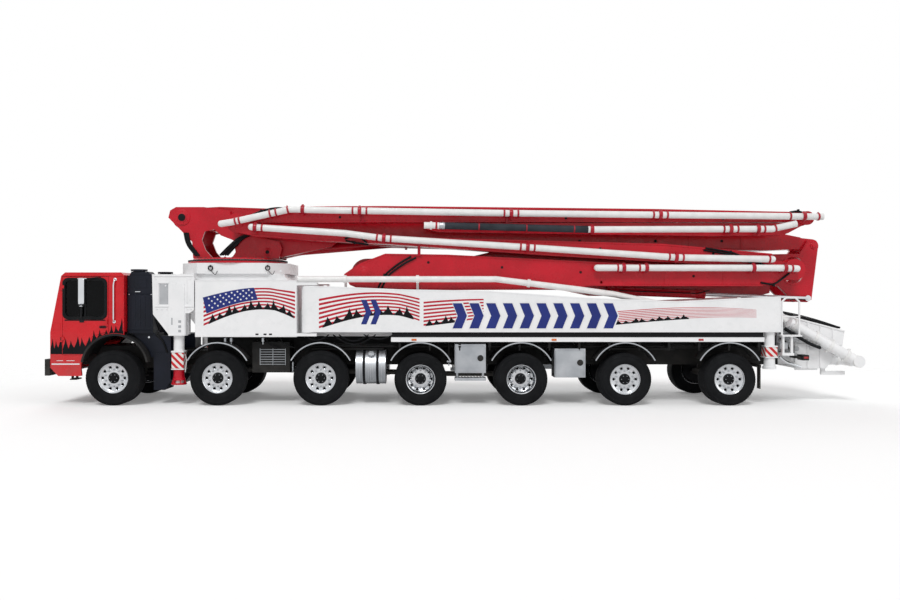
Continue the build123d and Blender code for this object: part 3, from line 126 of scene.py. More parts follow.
@dataclass(frozen=True)
class Finish:
    """A real material and how its surface was made.

    Colour drifts between two near tones in soft patches, roughness is uneven, and a fine
    grain lifts the surface. Road film gathers on what is low.
    """

    name: str
    colour: str
    drift: str
    roughness: float
    uneven: float = 0.08
    metallic: float = 0.0
    ior: float = 1.5
    coat: float = 0.0
    specular: float = 0.3
    patch_mm: float = 400.0
    grain_mm: float = 3.0
    grain_lift_mm: float = 0.05
    film: float = 0.0
    film_top_mm: float = 1500.0

    def build(self) -> bpy.types.Material:
        """Makes the material.

        Returns:
            The Blender material with its node tree.
        """
        material = bpy.data.materials.new(self.name)
        material.use_nodes = True
        tree = material.node_tree
        tree.nodes.clear()
        place = node(tree, "TexCoord").outputs["Object"]
        shader = node(tree, "BsdfPrincipled", {"Metallic": self.metallic})
        if self.metallic < 0.5:
            shader.inputs["IOR"].default_value = self.ior
        shader.inputs["Coat Weight"].default_value = self.coat
        shader.inputs["Specular IOR Level"].default_value = self.specular
        shader.inputs["Coat Roughness"].default_value = 0.06
        tint = self.tint(tree, place)
        tint = self.dusted(tree, place, tint)
        tree.links.new(tint, shader.inputs["Base Color"])
        tree.links.new(self.gloss(tree, place), shader.inputs["Roughness"])
        tree.links.new(self.relief(tree, place), shader.inputs["Normal"])
        end = node(tree, "OutputMaterial")
        tree.links.new(self.skin(tree, place, shader), end.inputs["Surface"])
        return material

    def tint(self, tree: Tree, place: Link) -> Link:
        """Colour that drifts softly between the two tones.

        Args:
            tree: The material's tree.
            place: The point on the piece.

        Returns:
            The colour socket.
        """
        patches = node(
            tree, "TexNoise", {"Vector": place, "Scale": 1 / (self.patch_mm * MM), "Detail": 4.0}
        )
        spread = node(
            tree, "MapRange", {0: patches.outputs["Fac"], 1: 0.35, 2: 0.65, 3: 0.0, 4: 1.0}
        )
        mixed = node(
            tree, "Mix",
            {MIX_FACTOR: spread.outputs[0], MIX_A: linear(self.colour), MIX_B: linear(self.drift)},
            data_type="RGBA"
        )
        return mixed.outputs[MIX_RESULT]

    def dusted(self, tree: Tree, place: Link, tint: Link) -> Link:
        """Adds the grey film that the road leaves on low surfaces.

        Args:
            tree: The material's tree.
            place: The point on the piece.
            tint: The clean colour.

        Returns:
            The colour socket with the film on it.
        """
        if not self.film:
            return tint
        height = node(tree, "SeparateXYZ", {0: place}).outputs["Z"]
        fade = node(
            tree, "MapRange", {0: height, 1: self.film_top_mm * MM, 2: 0.2, 3: 0.0, 4: self.film}
        )
        blotch = node(tree, "TexNoise", {"Vector": place, "Scale": 5.0, "Detail": 6.0})
        share = node(
            tree, "Math", {0: fade.outputs[0], 1: blotch.outputs["Fac"]}, operation="MULTIPLY"
        )
        mixed = node(
            tree, "Mix", {MIX_FACTOR: share.outputs[0], MIX_A: tint, MIX_B: linear("#8F8A82")},
            data_type="RGBA"
        )
        return mixed.outputs[MIX_RESULT]

    def gloss(self, tree: Tree, place: Link) -> Link:
        """Roughness that varies over the surface.

        Args:
            tree: The material's tree.
            place: The point on the piece.

        Returns:
            The roughness socket.
        """
        smear = node(tree, "TexNoise", {"Vector": place, "Scale": 7.0, "Detail": 5.0})
        low = max(0.02, self.roughness - self.uneven)
        high = min(1.0, self.roughness + self.uneven)
        spread = node(tree, "MapRange", {0: smear.outputs["Fac"], 1: 0.3, 2: 0.7, 3: low, 4: high})
        return spread.outputs[0]

    def relief(self, tree: Tree, place: Link) -> Link:
        """Fine grain of the surface.

        Args:
            tree: The material's tree.
            place: The point on the piece.

        Returns:
            The normal socket.
        """
        grain = node(
            tree, "TexNoise", {"Vector": place, "Scale": 1 / (self.grain_mm * MM), "Detail": 2.0}
        )
        bump = node(
            tree, "Bump",
            {"Height": grain.outputs["Fac"], "Distance": self.grain_lift_mm * MM, "Strength": 0.6}
        )
        return bump.outputs["Normal"]

    def skin(self, tree: Tree, place: Link, shader: bpy.types.Node) -> Link:
        """The shader that reaches the surface."""
        return shader.outputs["BSDF"]


@dataclass(frozen=True)
class Enamel(Finish):
    """Two-pack enamel sprayed on steel: glossy, with a faint orange peel of about 4 mm."""

    coat: float = 0.12
    grain_mm: float = 4.0
    grain_lift_mm: float = 0.04


@dataclass(frozen=True)
class Moulding(Finish):
    """Injection-moulded plastic: an even fine leather grain that breaks up the light."""

    specular: float = 0.2
    pit_mm: float = 2.5

    def relief(self, tree: Tree, place: Link) -> Link:
        """Cells of the moulded grain, drawn coarse enough to show.

        Args:
            tree: The material's tree.
            place: The point on the piece.

        Returns:
            The normal socket.
        """
        cells = node(
            tree, "TexVoronoi", {"Vector": place, "Scale": 1 / (self.pit_mm * MM)},
            feature="SMOOTH_F1"
        )
        bump = node(
            tree, "Bump",
            {"Height": cells.outputs["Distance"], "Distance": 0.12 * MM, "Strength": 0.5}
        )
        return bump.outputs["Normal"]


@dataclass(frozen=True)
class Brushed(Finish):
    """Metal drawn through a grinding belt: long fine scratches along one axis."""

    metallic: float = 1.0
    stretch: tuple[float, float, float] = (4.0, 400.0, 400.0)

    def gloss(self, tree: Tree, place: Link) -> Link:
        """Streaks of roughness along the belt's direction.

        Args:
            tree: The material's tree.
            place: The point on the piece.

        Returns:
            The roughness socket.
        """
        drawn = node(tree, "Mapping", {"Vector": place, "Scale": self.stretch})
        streaks = node(tree, "TexNoise", {"Vector": drawn.outputs[0], "Scale": 1.0, "Detail": 4.0})
        low = max(0.02, self.roughness - self.uneven)
        high = min(1.0, self.roughness + self.uneven)
        spread = node(
            tree, "MapRange", {0: streaks.outputs["Fac"], 1: 0.35, 2: 0.65, 3: low, 4: high}
        )
        return spread.outputs[0]


@dataclass(frozen=True)
class Rubber(Finish):
    """Vulcanised black rubber: matt, slightly grey where it has bloomed, with a fine skin."""

    uneven: float = 0.1
    specular: float = 0.12
    grain_mm: float = 1.5
    grain_lift_mm: float = 0.15
    ior: float = 1.52


@dataclass(frozen=True)
class Ribbed(Rubber):
    """Hose with a spiral wrap, whose turns stand up along the run."""

    turn_mm: float = 22.0

    def relief(self, tree: Tree, place: Link) -> Link:
        """Turns of the wrap along the truck.

        Args:
            tree: The material's tree.
            place: The point on the piece.

        Returns:
            The normal socket.
        """
        turns = node(
            tree, "TexWave",
            {"Vector": place, "Scale": 0.5 / (self.turn_mm * MM), "Distortion": 0.3},
            bands_direction="X"
        )
        bump = node(
            tree, "Bump", {"Height": turns.outputs["Fac"], "Distance": 2.0 * MM, "Strength": 0.7}
        )
        return bump.outputs["Normal"]


@dataclass(frozen=True)
class Hazard(Finish):
    """Retro-reflective tape with slanted bars in two colours and a fine bead grain."""

    bar_mm: float = 70.0
    other: str = "#C8242B"

    def tint(self, tree: Tree, place: Link) -> Link:
        """Slanted bars over the X, Z face.

        Args:
            tree: The material's tree.
            place: The point on the piece.

        Returns:
            The colour socket.
        """
        axes = node(tree, "SeparateXYZ", {0: place})
        slant = node(tree, "Math", {0: axes.outputs["X"], 1: axes.outputs["Z"]}, operation="ADD")
        across = node(
            tree, "Math", {0: slant.outputs[0], 1: axes.outputs["Y"]}, operation="SUBTRACT"
        )
        turns = node(
            tree, "Math", {0: across.outputs[0], 1: 1 / (2 * self.bar_mm * MM)},
            operation="MULTIPLY"
        )
        part = node(tree, "Math", {0: turns.outputs[0]}, operation="FRACT")
        which = node(tree, "Math", {0: part.outputs[0], 1: 0.5}, operation="GREATER_THAN")
        mixed = node(
            tree, "Mix",
            {MIX_FACTOR: which.outputs[0], MIX_A: linear(self.colour), MIX_B: linear(self.other)},
            data_type="RGBA"
        )
        return mixed.outputs[MIX_RESULT]


@dataclass(frozen=True)
class Glazing(Finish):
    """Toughened privacy glass: dark, smooth and partly clear."""

    clear: float = 0.25

    def skin(self, tree: Tree, place: Link, shader: bpy.types.Node) -> Link:
        """Lets part of the light straight through the dark glass.

        Args:
            tree: The material's tree.
            place: Not used.
            shader: The main shader.

        Returns:
            The surface socket.
        """
        through = node(tree, "BsdfTransparent", {"Color": linear("#9FB0B4")})
        mixed = node(
            tree, "MixShader", {0: self.clear, 1: shader.outputs["BSDF"], 2: through.outputs[0]}
        )
        return mixed.outputs[0]


@dataclass(frozen=True)
class Lens(Finish):
    """Moulded clear acrylic over a reflector, with a waffle of small prisms."""

    coat: float = 0.8

    def relief(self, tree: Tree, place: Link) -> Link:
        """Prisms of the lens.

        Args:
            tree: The material's tree.
            place: The point on the piece.

        Returns:
            The normal socket.
        """
        cells = node(
            tree, "TexVoronoi", {"Vector": place, "Scale": 1 / (9 * MM), "Randomness": 0.0}
        )
        bump = node(
            tree, "Bump",
            {"Height": cells.outputs["Distance"], "Distance": 1.5 * MM, "Strength": 0.5}
        )
        return bump.outputs["Normal"]


class Stock:
    """Every finish on the truck, named for its real material."""

    BOOM_ENAMEL = Enamel("red_boom_enamel", "#C81228", "#B80E22", 0.3, film=0.0)
    CAB_ENAMEL = Enamel("red_cab_enamel", "#D41824", "#C6131E", 0.24, film=0.35)
    BODY_ENAMEL = Enamel("white_body_enamel", "#F6F6F7", "#EFF0F1", 0.3, film=0.12)
    PIPE_ENAMEL = Enamel("white_pipe_enamel", "#F3F3F2", "#E9E9E8", 0.34, patch_mm=160)
    CLAMP_ENAMEL = Enamel("red_clamp_enamel", "#B80F2A", "#9A0C22", 0.36, patch_mm=60)
    # Grey enamel that also serves as painted shade: it darkens the pump parts at the rear and the
    # recessed panels of the front legs
    SHADOW_ENAMEL = Enamel("grey_pump_enamel", "#BDBFC2", "#9FA2A6", 0.38, film=0.4)
    # Powder coat on the frame is satin and picks up road film
    FRAME_POWDER = Finish(
        "black_frame_powder_coat", "#0E0F11", "#141518", 0.5, film=0.25, specular=0.12
    )
    # Cast iron of axles and hubs keeps a sandy skin
    AXLE_IRON = Finish(
        "grey_axle_cast_iron", "#3A3B3D", "#2A2B2C", 0.62, grain_mm=5, grain_lift_mm=0.4, film=0.5
    )
    TRIM_PLASTIC = Moulding("dark_cabin_plastic", "#2A2B2E", "#232427", 0.6)
    BUMPER_PLASTIC = Moulding("black_bumper_plastic", "#101113", "#17181B", 0.48, film=0.3)
    STACK_PLASTIC = Moulding("navy_stack_plastic", "#161A26", "#10141E", 0.42)
    GUARD_PLASTIC = Moulding("black_guard_polypropylene", "#111214", "#191A1D", 0.5, film=0.3)
    TANK_ALUMINIUM = Brushed("brushed_tank_aluminium", "#C9CBCE", "#B4B7BB", 0.32, uneven=0.1)
    BOX_STEEL = Brushed("galvanised_box_steel", "#B9BCC0", "#A2A6AB", 0.42, uneven=0.12)
    RIM_ALUMINIUM = Brushed(
        "polished_rim_aluminium", "#D4D6D9", "#C2C5C9", 0.2, uneven=0.08, stretch=(60, 60, 60)
    )
    CHROME = Brushed("hard_chrome_rod", "#D9DBDE", "#CDD0D4", 0.1, uneven=0.05)
    MIRROR = Brushed("chromed_mirror_shell", "#DADCDF", "#CFD2D6", 0.08, uneven=0.04)
    TYRE_RUBBER = Rubber("black_tyre_rubber", "#0F1012", "#17181A", 0.78)
    SHEET_RUBBER = Rubber("black_cover_rubber", "#121214", "#1D1D1F", 0.66)
    HOSE_RUBBER = Rubber("black_hose_rubber", "#0E0F11", "#17181B", 0.5)
    WRAP_RUBBER = Ribbed("grey_wrapped_hose", "#3C4046", "#2B2E33", 0.62)
    WINDOW_RUBBER = Rubber("window_seal_rubber", "#101113", "#18191B", 0.55)
    PRIVACY_GLASS = Glazing(
        "dark_privacy_glass", "#050607", "#08090B", 0.06, uneven=0.02, specular=0.14
    )
    HAZARD_TAPE = Hazard("slanted_hazard_tape", "#E8E6E2", "#E8E6E2", 0.4)
    AMBER_LENS = Lens("amber_lamp_lens", "#E2731B", "#D86412", 0.2)
    RED_LENS = Lens("red_lamp_lens", "#B3141B", "#9E1017", 0.2)
    CLEAR_LENS = Lens("clear_lamp_lens", "#E4E8EA", "#D0D6DA", 0.12)
    # Cut cast vinyl on the panels is flat and a little duller than the enamel under it
    RED_VINYL = Enamel("red_stripe_vinyl", "#BE1830", "#B4142A", 0.36, coat=0.1)
    PALE_VINYL = Enamel("pale_stripe_vinyl", "#CF4C58", "#C5424E", 0.36, coat=0.1)
    BLUE_VINYL = Enamel("blue_field_vinyl", "#1A2C7C", "#152570", 0.36, coat=0.1)
    WHITE_VINYL = Enamel("white_dot_vinyl", "#EEEEEF", "#E6E6E8", 0.36, coat=0.1)
    RIDGE_VINYL = Enamel("dark_ridge_vinyl", "#101216", "#0B0D10", 0.55, coat=0.0, specular=0.12)


@lru_cache(maxsize=None)
def material_of(finish: Finish) -> bpy.types.Material:
    """Builds a finish once and keeps it."""
    return finish.build()


# ---------------------------------------------------------------- meshes


class Shape:
    """A mesh gathered from turned, bent, cut and lofted forms, in the row frame."""

    def __init__(self) -> None:
        """Starts empty."""
        self.points: list[tuple[float, float, float]] = []
        self.faces: list[tuple[int, ...]] = []
        self.skins: list[int] = []

    def put(self, points: Iterable[Point], faces: Iterable[Sequence[int]], skin: int = 0) -> None:
        """Adds faces on points of their own.

        Args:
            points: The corners.
            faces: Each face as numbers into the corners.
            skin: Which of the piece's finishes they take.
        """
        start = len(self.points)
        self.points.extend((float(p[0]), float(p[1]), float(p[2])) for p in points)
        for face in faces:
            self.faces.append(tuple(start + i for i in face))
            self.skins.append(skin)

    def loft(
        self, rings: Sequence[Sequence[Point]], skin: int = 0, capped: bool = True,
        looped: bool = False
    ) -> None:
        """Joins closed rings of equal length one after another.

        Args:
            rings: The rings in order.
            skin: Which finish they take.
            capped: Whether the first and last rings are closed.
            looped: Whether the last ring joins the first.
        """
        count = len(rings[0])
        points = [p for ring in rings for p in ring]
        faces: list[Sequence[int]] = []
        last = len(rings) if looped else len(rings) - 1
        for i in range(last):
            a, b = i * count, (i + 1) % len(rings) * count
            for j in range(count):
                k = (j + 1) % count
                faces.append((a + j, a + k, b + k, b + j))
        if capped and not looped:
            faces.append(tuple(reversed(range(count))))
            faces.append(tuple(range((len(rings) - 1) * count, len(rings) * count)))
        self.put(points, faces, skin)

    def turn(
        self, profile: Line, origin: Point, axis: Point, sides: int = 24, skin: int = 0,
        capped: bool = True
    ) -> None:
        """Turns a profile round an axis.

        Args:
            profile: Distance along the axis and radius, in order.
            origin: The axis's zero point.
            axis: Its direction.
            sides: Facets round it.
            skin: Which finish it takes.
            capped: Whether its ends are closed.
        """
        along = Vector(axis).normalized()
        u = along.orthogonal().normalized()
        v = along.cross(u)
        base = Vector(origin)
        rings = []
        for step, radius in profile:
            ring = []
            for i in range(sides):
                angle = math.tau * i / sides
                ring.append(
                    base + along * step + (u * math.cos(angle) + v * math.sin(angle)) * radius
                )
            rings.append(ring)
        self.loft(rings, skin, capped)

    def collar(
        self, point: Point, axis: Point, foot: tuple[float, float], rim: tuple[float, float],
        sides: int
    ) -> None:
        """An open band round an axis, alike both ways from its middle.

        Args:
            point: Its middle.
            axis: Direction of the axis.
            foot: Half length and radius where it meets what it holds.
            rim: Half length and radius of its outer face.
            sides: Facets round it.
        """
        (long, low), (short, high) = foot, rim
        profile = ((-long, low), (-short, high), (short, high), (long, low))
        self.turn(profile, point, axis, sides, capped=False)

    def rod(self, a: Point, b: Point, radius: float, sides: int = 16, skin: int = 0) -> None:
        """A round bar with a small chamfer at both ends.

        Args:
            a: One end.
            b: The other end.
            radius: Its radius.
            sides: Facets round it.
            skin: Which finish it takes.
        """
        run = Vector(b) - Vector(a)
        edge = min(radius * 0.18, run.length * 0.2, 0.004)
        profile = (
            (0.0, radius - edge), (edge, radius), (run.length - edge, radius),
            (run.length, radius - edge)
        )
        self.turn(profile, a, run, sides, skin)

    def box(self, low: Point, high: Point, skin: int = 0, edge: float = 0.0) -> None:
        """A block with chamfered upright edges.

        Args:
            low: Its lowest corner.
            high: Its highest corner.
            skin: Which finish it takes.
            edge: Chamfer of all its edges.
        """
        (x0, y0, z0), (x1, y1, z1) = low, high
        x0, x1 = sorted((x0, x1))
        y0, y1 = sorted((y0, y1))
        z0, z1 = sorted((z0, z1))
        e = min(edge, (x1 - x0) / 3, (y1 - y0) / 3, (z1 - z0) / 3)

        def ring(z: float, inset: float) -> list[Point]:
            """Outline at one height with cut corners.

            Args:
                z: The height.
                inset: How far the outline is drawn in.

            Returns:
                The corners in order.
            """
            a, b, c, d = x0 + inset, x1 - inset, y0 + inset, y1 - inset
            if not e:
                return [(a, c, z), (b, c, z), (b, d, z), (a, d, z)]
            return [
                (a + e, c, z), (b - e, c, z), (b, c + e, z), (b, d - e, z), (b - e, d, z),
                (a + e, d, z), (a, d - e, z), (a, c + e, z)
            ]

        rings = [ring(z0, e), ring(z0 + e, 0), ring(z1 - e, 0), ring(z1, e)]
        self.loft(rings if e else [rings[1], rings[2]], skin)

    def prism(self, outline: Line, y0: float, y1: float, skin: int = 0) -> None:
        """A plate with a side outline of X, Z points between two Y values."""
        self.loft([[(x, y, z) for x, z in outline] for y in (y0, y1)], skin)

    def pipe(
        self, route: Sequence[Point], radius: float, bend: float = 0.1, sides: int = 12,
        skin: int = 0, capped: bool = True
    ) -> None:
        """A tube along straight runs with rounded bends.

        Args:
            route: The corners of the run.
            radius: The tube's radius.
            bend: Radius of the bends.
            sides: Facets round it.
            skin: Which finish it takes.
            capped: Whether its ends are closed.
        """
        line = rounded(route, bend)
        rings = []
        heading = (line[1] - line[0]).normalized()
        u = heading.orthogonal().normalized()
        for i, point in enumerate(line):
            before = line[max(i - 1, 0)]
            after = line[min(i + 1, len(line) - 1)]
            turned = (after - before).normalized()
            u = (u - turned * u.dot(turned)).normalized()
            v = turned.cross(u)
            ring = []
            for j in range(sides):
                angle = math.tau * j / sides
                ring.append(point + (u * math.cos(angle) + v * math.sin(angle)) * radius)
            rings.append(ring)
        self.loft(rings, skin, capped)

    def strip(self, upper: Line, lower: Line, y: float, skin: int = 0) -> None:
        """A flat cut sheet between two lines of X, Z points, facing away from the middle.

        Args:
            upper: The upper edge from front to rear.
            lower: The lower edge, point for point.
            y: Where it lies.
            skin: Which finish it takes.
        """
        count = len(upper)
        points = [(x, y, z) for x, z in upper] + [(x, y, z) for x, z in lower]
        faces = []
        for i in range(count - 1):
            face = (i, i + 1, count + i + 1, count + i)
            faces.append(face if y > 0 else tuple(reversed(face)))
        self.put(points, faces, skin)

    def mesh(self, name: str, finishes: Sequence[Finish], sharp: float = 32.0) -> bpy.types.Mesh:
        """Turns the shape into a mesh.

        Args:
            name: The mesh's name.
            finishes: The finishes that its skins number.
            sharp: Edges that bend by more degrees stay sharp.

        Returns:
            The mesh.
        """
        mesh = bpy.data.meshes.new(name)
        mesh.from_pydata(self.points, [], self.faces)
        for finish in finishes:
            mesh.materials.append(material_of(finish))
        mesh.polygons.foreach_set("material_index", self.skins)
        mesh.shade_smooth()
        mesh.set_sharp_from_angle(angle=math.radians(sharp))
        mesh.validate()
        mesh.update()
        return mesh


def rounded(route: Sequence[Point], bend: float, steps: int = 6) -> list[Vector]:
    """Rounds the corners of a run.

    Args:
        route: Its corners.
        bend: Radius wanted at each corner.
        steps: Points on each bend.

    Returns:
        The points along the rounded run.
    """
    corners = [Vector(p) for p in route]
    line = [corners[0]]
    for before, corner, after in zip(corners, corners[1:], corners[2:]):
        back, ahead = (before - corner), (after - corner)
        reach = min(bend, back.length * 0.48, ahead.length * 0.48)
        start = corner + back.normalized() * reach
        end = corner + ahead.normalized() * reach
        for i in range(steps + 1):
            t = i / steps
            line.append(start * (1 - t) ** 2 + corner * 2 * t * (1 - t) + end * t**2)
    line.append(corners[-1])
    return line


def show(
    shape: Shape, name: str, finish: Finish, body: str, edge_mm: float = 0.0,
    sharp: float = 32.0
) -> bpy.types.Object:
    """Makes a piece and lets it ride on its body.

    Args:
        shape: Its form.
        name: Its name.
        finish: Its finish.
        body: The body that carries it.
        edge_mm: Radius of its rounded edges.
        sharp: Edges that bend by more degrees stay sharp.

    Returns:
        The object.
    """
    piece = bpy.data.objects.new(name, shape.mesh(name, [finish], sharp))
    bpy.context.scene.collection.objects.link(piece)
    if edge_mm:
        soften(piece, edge_mm)
    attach(piece, body)
    LOG.info("%s: %d faces on %s", name, len(shape.faces), body)
    return piece


def around(count: int, radius: float, shift: float = 0.0) -> list[tuple[float, float]]:
    """Points spaced evenly on a circle about its middle."""
    turns = [math.tau * (i + shift) / count for i in range(count)]
    return [(radius * math.cos(turn), radius * math.sin(turn)) for turn in turns]


def soften(piece: bpy.types.Object, edge_mm: float) -> None:
    """Rounds a piece's sharp edges.

    Args:
        piece: The piece.
        edge_mm: Radius of the rounding.
    """
    edge = piece.modifiers.new("edges", "BEVEL")
    edge.width = edge_mm * MM
    edge.segments = 2
    edge.limit_method = "ANGLE"
    edge.angle_limit = math.radians(40)
    edge.harden_normals = True


def mid(node_name: str) -> Vector:
    """Middle of a frame node's box."""
    low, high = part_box(node_name)
    return (low + high) / 2


# ---------------------------------------------------------------- wheels


class Fitment(Enum):
    """How a wheel is fitted: one disc facing out, or a pair with its disc set deep."""

    SINGLE = "single"
    TWIN = "twin"


@dataclass
class Wheel:
    """A disc wheel with its tyres, modelled from the size of the frame's own wheel."""

    radius: float
    width: float
    fitment: Fitment
    rim_radius: float = 0.312
    holes: int = 10
    hole_radius: float = 0.031
    hole_ring: float = 0.222
    studs: int = 10
    stud_ring: float = 0.168
    cap_bolts: int = 6
    cap_ring: float = 0.074
    tread_ribs: int = 5
    shoulder_blocks: int = 60
    sides: int = 96

    def tyre(self, shape: Shape, centre: float, width: float) -> None:
        """One tyre with ribs across its tread and rings on its walls.

        Args:
            shape: The shape that it joins.
            centre: Middle of the tyre along the axle, outward positive.
            width: Width over the walls.
        """
        half, r, bead = width / 2, self.radius, self.rim_radius
        wall = [
            (half - 0.028, bead - 0.012), (half - 0.014, bead + 0.006),
            (half - 0.011, bead + 0.022), (half - 0.008, bead + 0.026),
            (half - 0.003, bead + (r - bead) * 0.28), (half - 0.0005, bead + (r - bead) * 0.5),
            (half - 0.003, bead + (r - bead) * 0.53), (half - 0.004, bead + (r - bead) * 0.7),
            (half - 0.001, bead + (r - bead) * 0.72), (half - 0.012, r - 0.03),
            (half - 0.028, r - 0.008)
        ]
        tread: list[tuple[float, float]] = []
        span = half - 0.034
        rib = 2 * span / self.tread_ribs
        for i in range(self.tread_ribs):
            start = span - i * rib
            tread += [(start, r), (start - rib + 0.012, r)]
            if i < self.tread_ribs - 1:
                tread += [(start - rib + 0.009, r - 0.013), (start - rib + 0.003, r - 0.013)]
        profile = wall + tread + [(-x, radius) for x, radius in reversed(wall)]
        moved = [(centre + x, radius) for x, radius in profile]
        shape.turn(moved, (0, 0, 0), (0, 1, 0), self.sides, 0, capped=False)
        for i in range(self.shoulder_blocks):
            angle = math.tau * i / self.shoulder_blocks
            for edge in (1, -1):
                self.shoulder_block(shape, centre + edge * (half - 0.021), edge, angle)

    def shoulder_block(self, shape: Shape, y: float, edge: int, angle: float) -> None:
        """One raised block on the tyre's shoulder.

        Args:
            shape: The shape that it joins.
            y: Its place along the axle.
            edge: Which shoulder, as a sign.
            angle: Its place round the tyre.
        """
        low, high, half = self.radius - 0.034, self.radius - 0.0035, 0.016
        u = Vector((math.sin(angle), 0, math.cos(angle)))
        v = Vector((math.cos(angle), 0, -math.sin(angle)))
        out = Vector((0, edge, 0))
        base = Vector((0, y, 0))
        ring_low = [
            base + u * low + v * a * half + out * b
            for a, b in ((-1, -0.012), (1, -0.012), (1, 0.0125), (-1, 0.0125))
        ]
        ring_high = [
            base + u * high + v * a * half * 0.85 + out * b
            for a, b in ((-1, -0.014), (1, -0.014), (1, 0.002), (-1, 0.002))
        ]
        shape.loft([ring_low, ring_high], 0)

    def rim(self, shape: Shape, centre: float, face: float) -> None:
        """Drop-centre rim of one tyre.

        Args:
            shape: The shape that it joins.
            centre: Middle of the tyre along the axle.
            face: Half width between the rim's lips.
        """
        bead = self.rim_radius
        profile = [
            (centre + face, bead - 0.02), (centre + face + 0.006, bead - 0.012),
            (centre + face + 0.006, bead + 0.004), (centre + face - 0.002, bead + 0.008),
            (centre + face - 0.01, bead), (centre - face + 0.01, bead),
            (centre - face + 0.002, bead + 0.008), (centre - face - 0.006, bead + 0.004),
            (centre - face - 0.006, bead - 0.012), (centre - face, bead - 0.02),
            (centre - face + 0.03, bead - 0.026), (centre + face - 0.03, bead - 0.026),
            (centre + face, bead - 0.02)
        ]
        shape.turn(profile, (0, 0, 0), (0, 1, 0), self.sides, 1, capped=False)

    def disc(self, shape: Shape, depth: float, out: float) -> None:
        """Dished disc with its hand holes, from the lip to the hub.

        Args:
            shape: The shape that it joins.
            depth: Where its hub face stands along the axle.
            out: Where its outer edge meets the rim.
        """
        steps_round = self.holes * 12
        rings = (
            (self.rim_radius - 0.022, out), (0.27, out + (depth - out) * 0.28),
            (self.hole_ring + self.hole_radius, out + (depth - out) * 0.62),
            (self.hole_ring - self.hole_radius, out + (depth - out) * 0.92), (0.19, depth),
            (0.1, depth)
        )
        grid: list[list[Vector]] = []
        for radius, y in rings:
            ring = []
            for i in range(steps_round):
                angle = math.tau * i / steps_round
                ring.append(Vector((math.sin(angle) * radius, y, math.cos(angle) * radius)))
            grid.append(ring)
        points = [p for ring in grid for p in ring]
        faces = []
        for level in range(len(rings) - 1):
            for i in range(steps_round):
                if level == 2 and i % 12 in (3, 4, 5, 6, 7, 8):
                    continue
                j = (i + 1) % steps_round
                a, b = level * steps_round, (level + 1) * steps_round
                faces.append((a + i, a + j, b + j, b + i))
        shape.put(points, faces, 1)
        # Rolled lips of the hand holes
        for hole in range(self.holes):
            angle = math.tau * (hole * 12 + 6) / steps_round
            y = out + (depth - out) * 0.77
            middle = Vector((math.sin(angle), 0, math.cos(angle))) * self.hole_ring
            path = []
            across = Vector((math.cos(angle), 0, -math.sin(angle)))
            along = Vector((math.sin(angle), 0, math.cos(angle)))
            slope = (depth - out) * 0.3 / (2 * self.hole_radius)
            for k in range(16):
                turn = math.tau * k / 16
                u = math.cos(turn) * self.hole_radius
                w = math.sin(turn) * self.hole_radius * 1.08
                path.append(middle + across * w + along * u + Vector((0, y - slope * u, 0)))
            lip = []
            for k, point in enumerate(path):
                outward = (point - middle - Vector((0, point.y, 0))).normalized()
                lip.append(
                    [
                        point + outward * 0.011 + Vector((0, -0.003, 0)),
                        point + outward * 0.003 + Vector((0, 0.004, 0)),
                        point - outward * 0.004 + Vector((0, 0.001, 0)),
                        point - outward * 0.004 + Vector((0, -0.02, 0))
                    ]
                )
            shape.loft(lip, 1, capped=False, looped=True)

    def hub(self, shape: Shape, depth: float, cap: float) -> None:
        """Hub cap, studs and nuts on the disc.

        Args:
            shape: The shape that it joins.
            depth: Where the hub face stands along the axle.
            cap: How far the cap stands out of it.
        """
        dome = [
            (depth - 0.03, 0.112), (depth + 0.004, 0.112), (depth + 0.01, 0.104),
            (depth + cap * 0.7, 0.098), (depth + cap * 0.92, 0.086), (depth + cap, 0.06),
            (depth + cap + 0.002, 0.03), (depth + cap + 0.002, 0.004)
        ]
        shape.turn(dome, (0, 0, 0), (0, 1, 0), 40, 2)
        for z, x in around(self.studs, self.stud_ring):
            shape.turn(
                [
                    (depth, 0.021), (depth + 0.006, 0.021), (depth + 0.007, 0.0165),
                    (depth + 0.03, 0.0165), (depth + 0.033, 0.014)
                ],
                (x, 0, z), (0, 1, 0), 6, 3
            )
            shape.rod((x, depth + 0.03, z), (x, depth + 0.046, z), 0.01, 10, 3)
        for z, x in around(self.cap_bolts, self.cap_ring, 0.5):
            shape.rod((x, depth + cap * 0.85, z), (x, depth + cap * 0.85 + 0.012, z), 0.008, 6, 3)

    def drum(self, shape: Shape, near: float, far: float) -> None:
        """Brake drum behind the disc.

        Args:
            shape: The shape that it joins.
            near: Its outer end along the axle.
            far: Its inner end.
        """
        shape.turn(
            [(far, 0.12), (far, 0.26), (near - 0.02, 0.262), (near, 0.22), (near, 0.1)], (0, 0, 0),
            (0, 1, 0), 48, 2
        )

    def form(self) -> Shape:
        """The whole wheel about its own axle, its outer side towards +Y.

        Returns:
            The wheel's shape.
        """
        shape = Shape()
        half = self.width / 2
        if self.fitment is Fitment.SINGLE:
            self.tyre(shape, 0.0, self.width)
            self.rim(shape, 0.0, half - 0.032)
            self.disc(shape, half - 0.075, half - 0.05)
            self.hub(shape, half - 0.075, 0.052)
            self.drum(shape, half - 0.12, -half + 0.05)
            return shape
        single = (self.width - 0.06) / 2
        for sign in (1, -1):
            centre = sign * (half - single / 2)
            self.tyre(shape, centre, single)
            self.rim(shape, centre, single / 2 - 0.03)
        self.disc(shape, half - 0.19, half - 0.06)
        self.hub(shape, half - 0.19, 0.11)
        self.drum(shape, half - 0.25, -half + 0.05)
        return shape


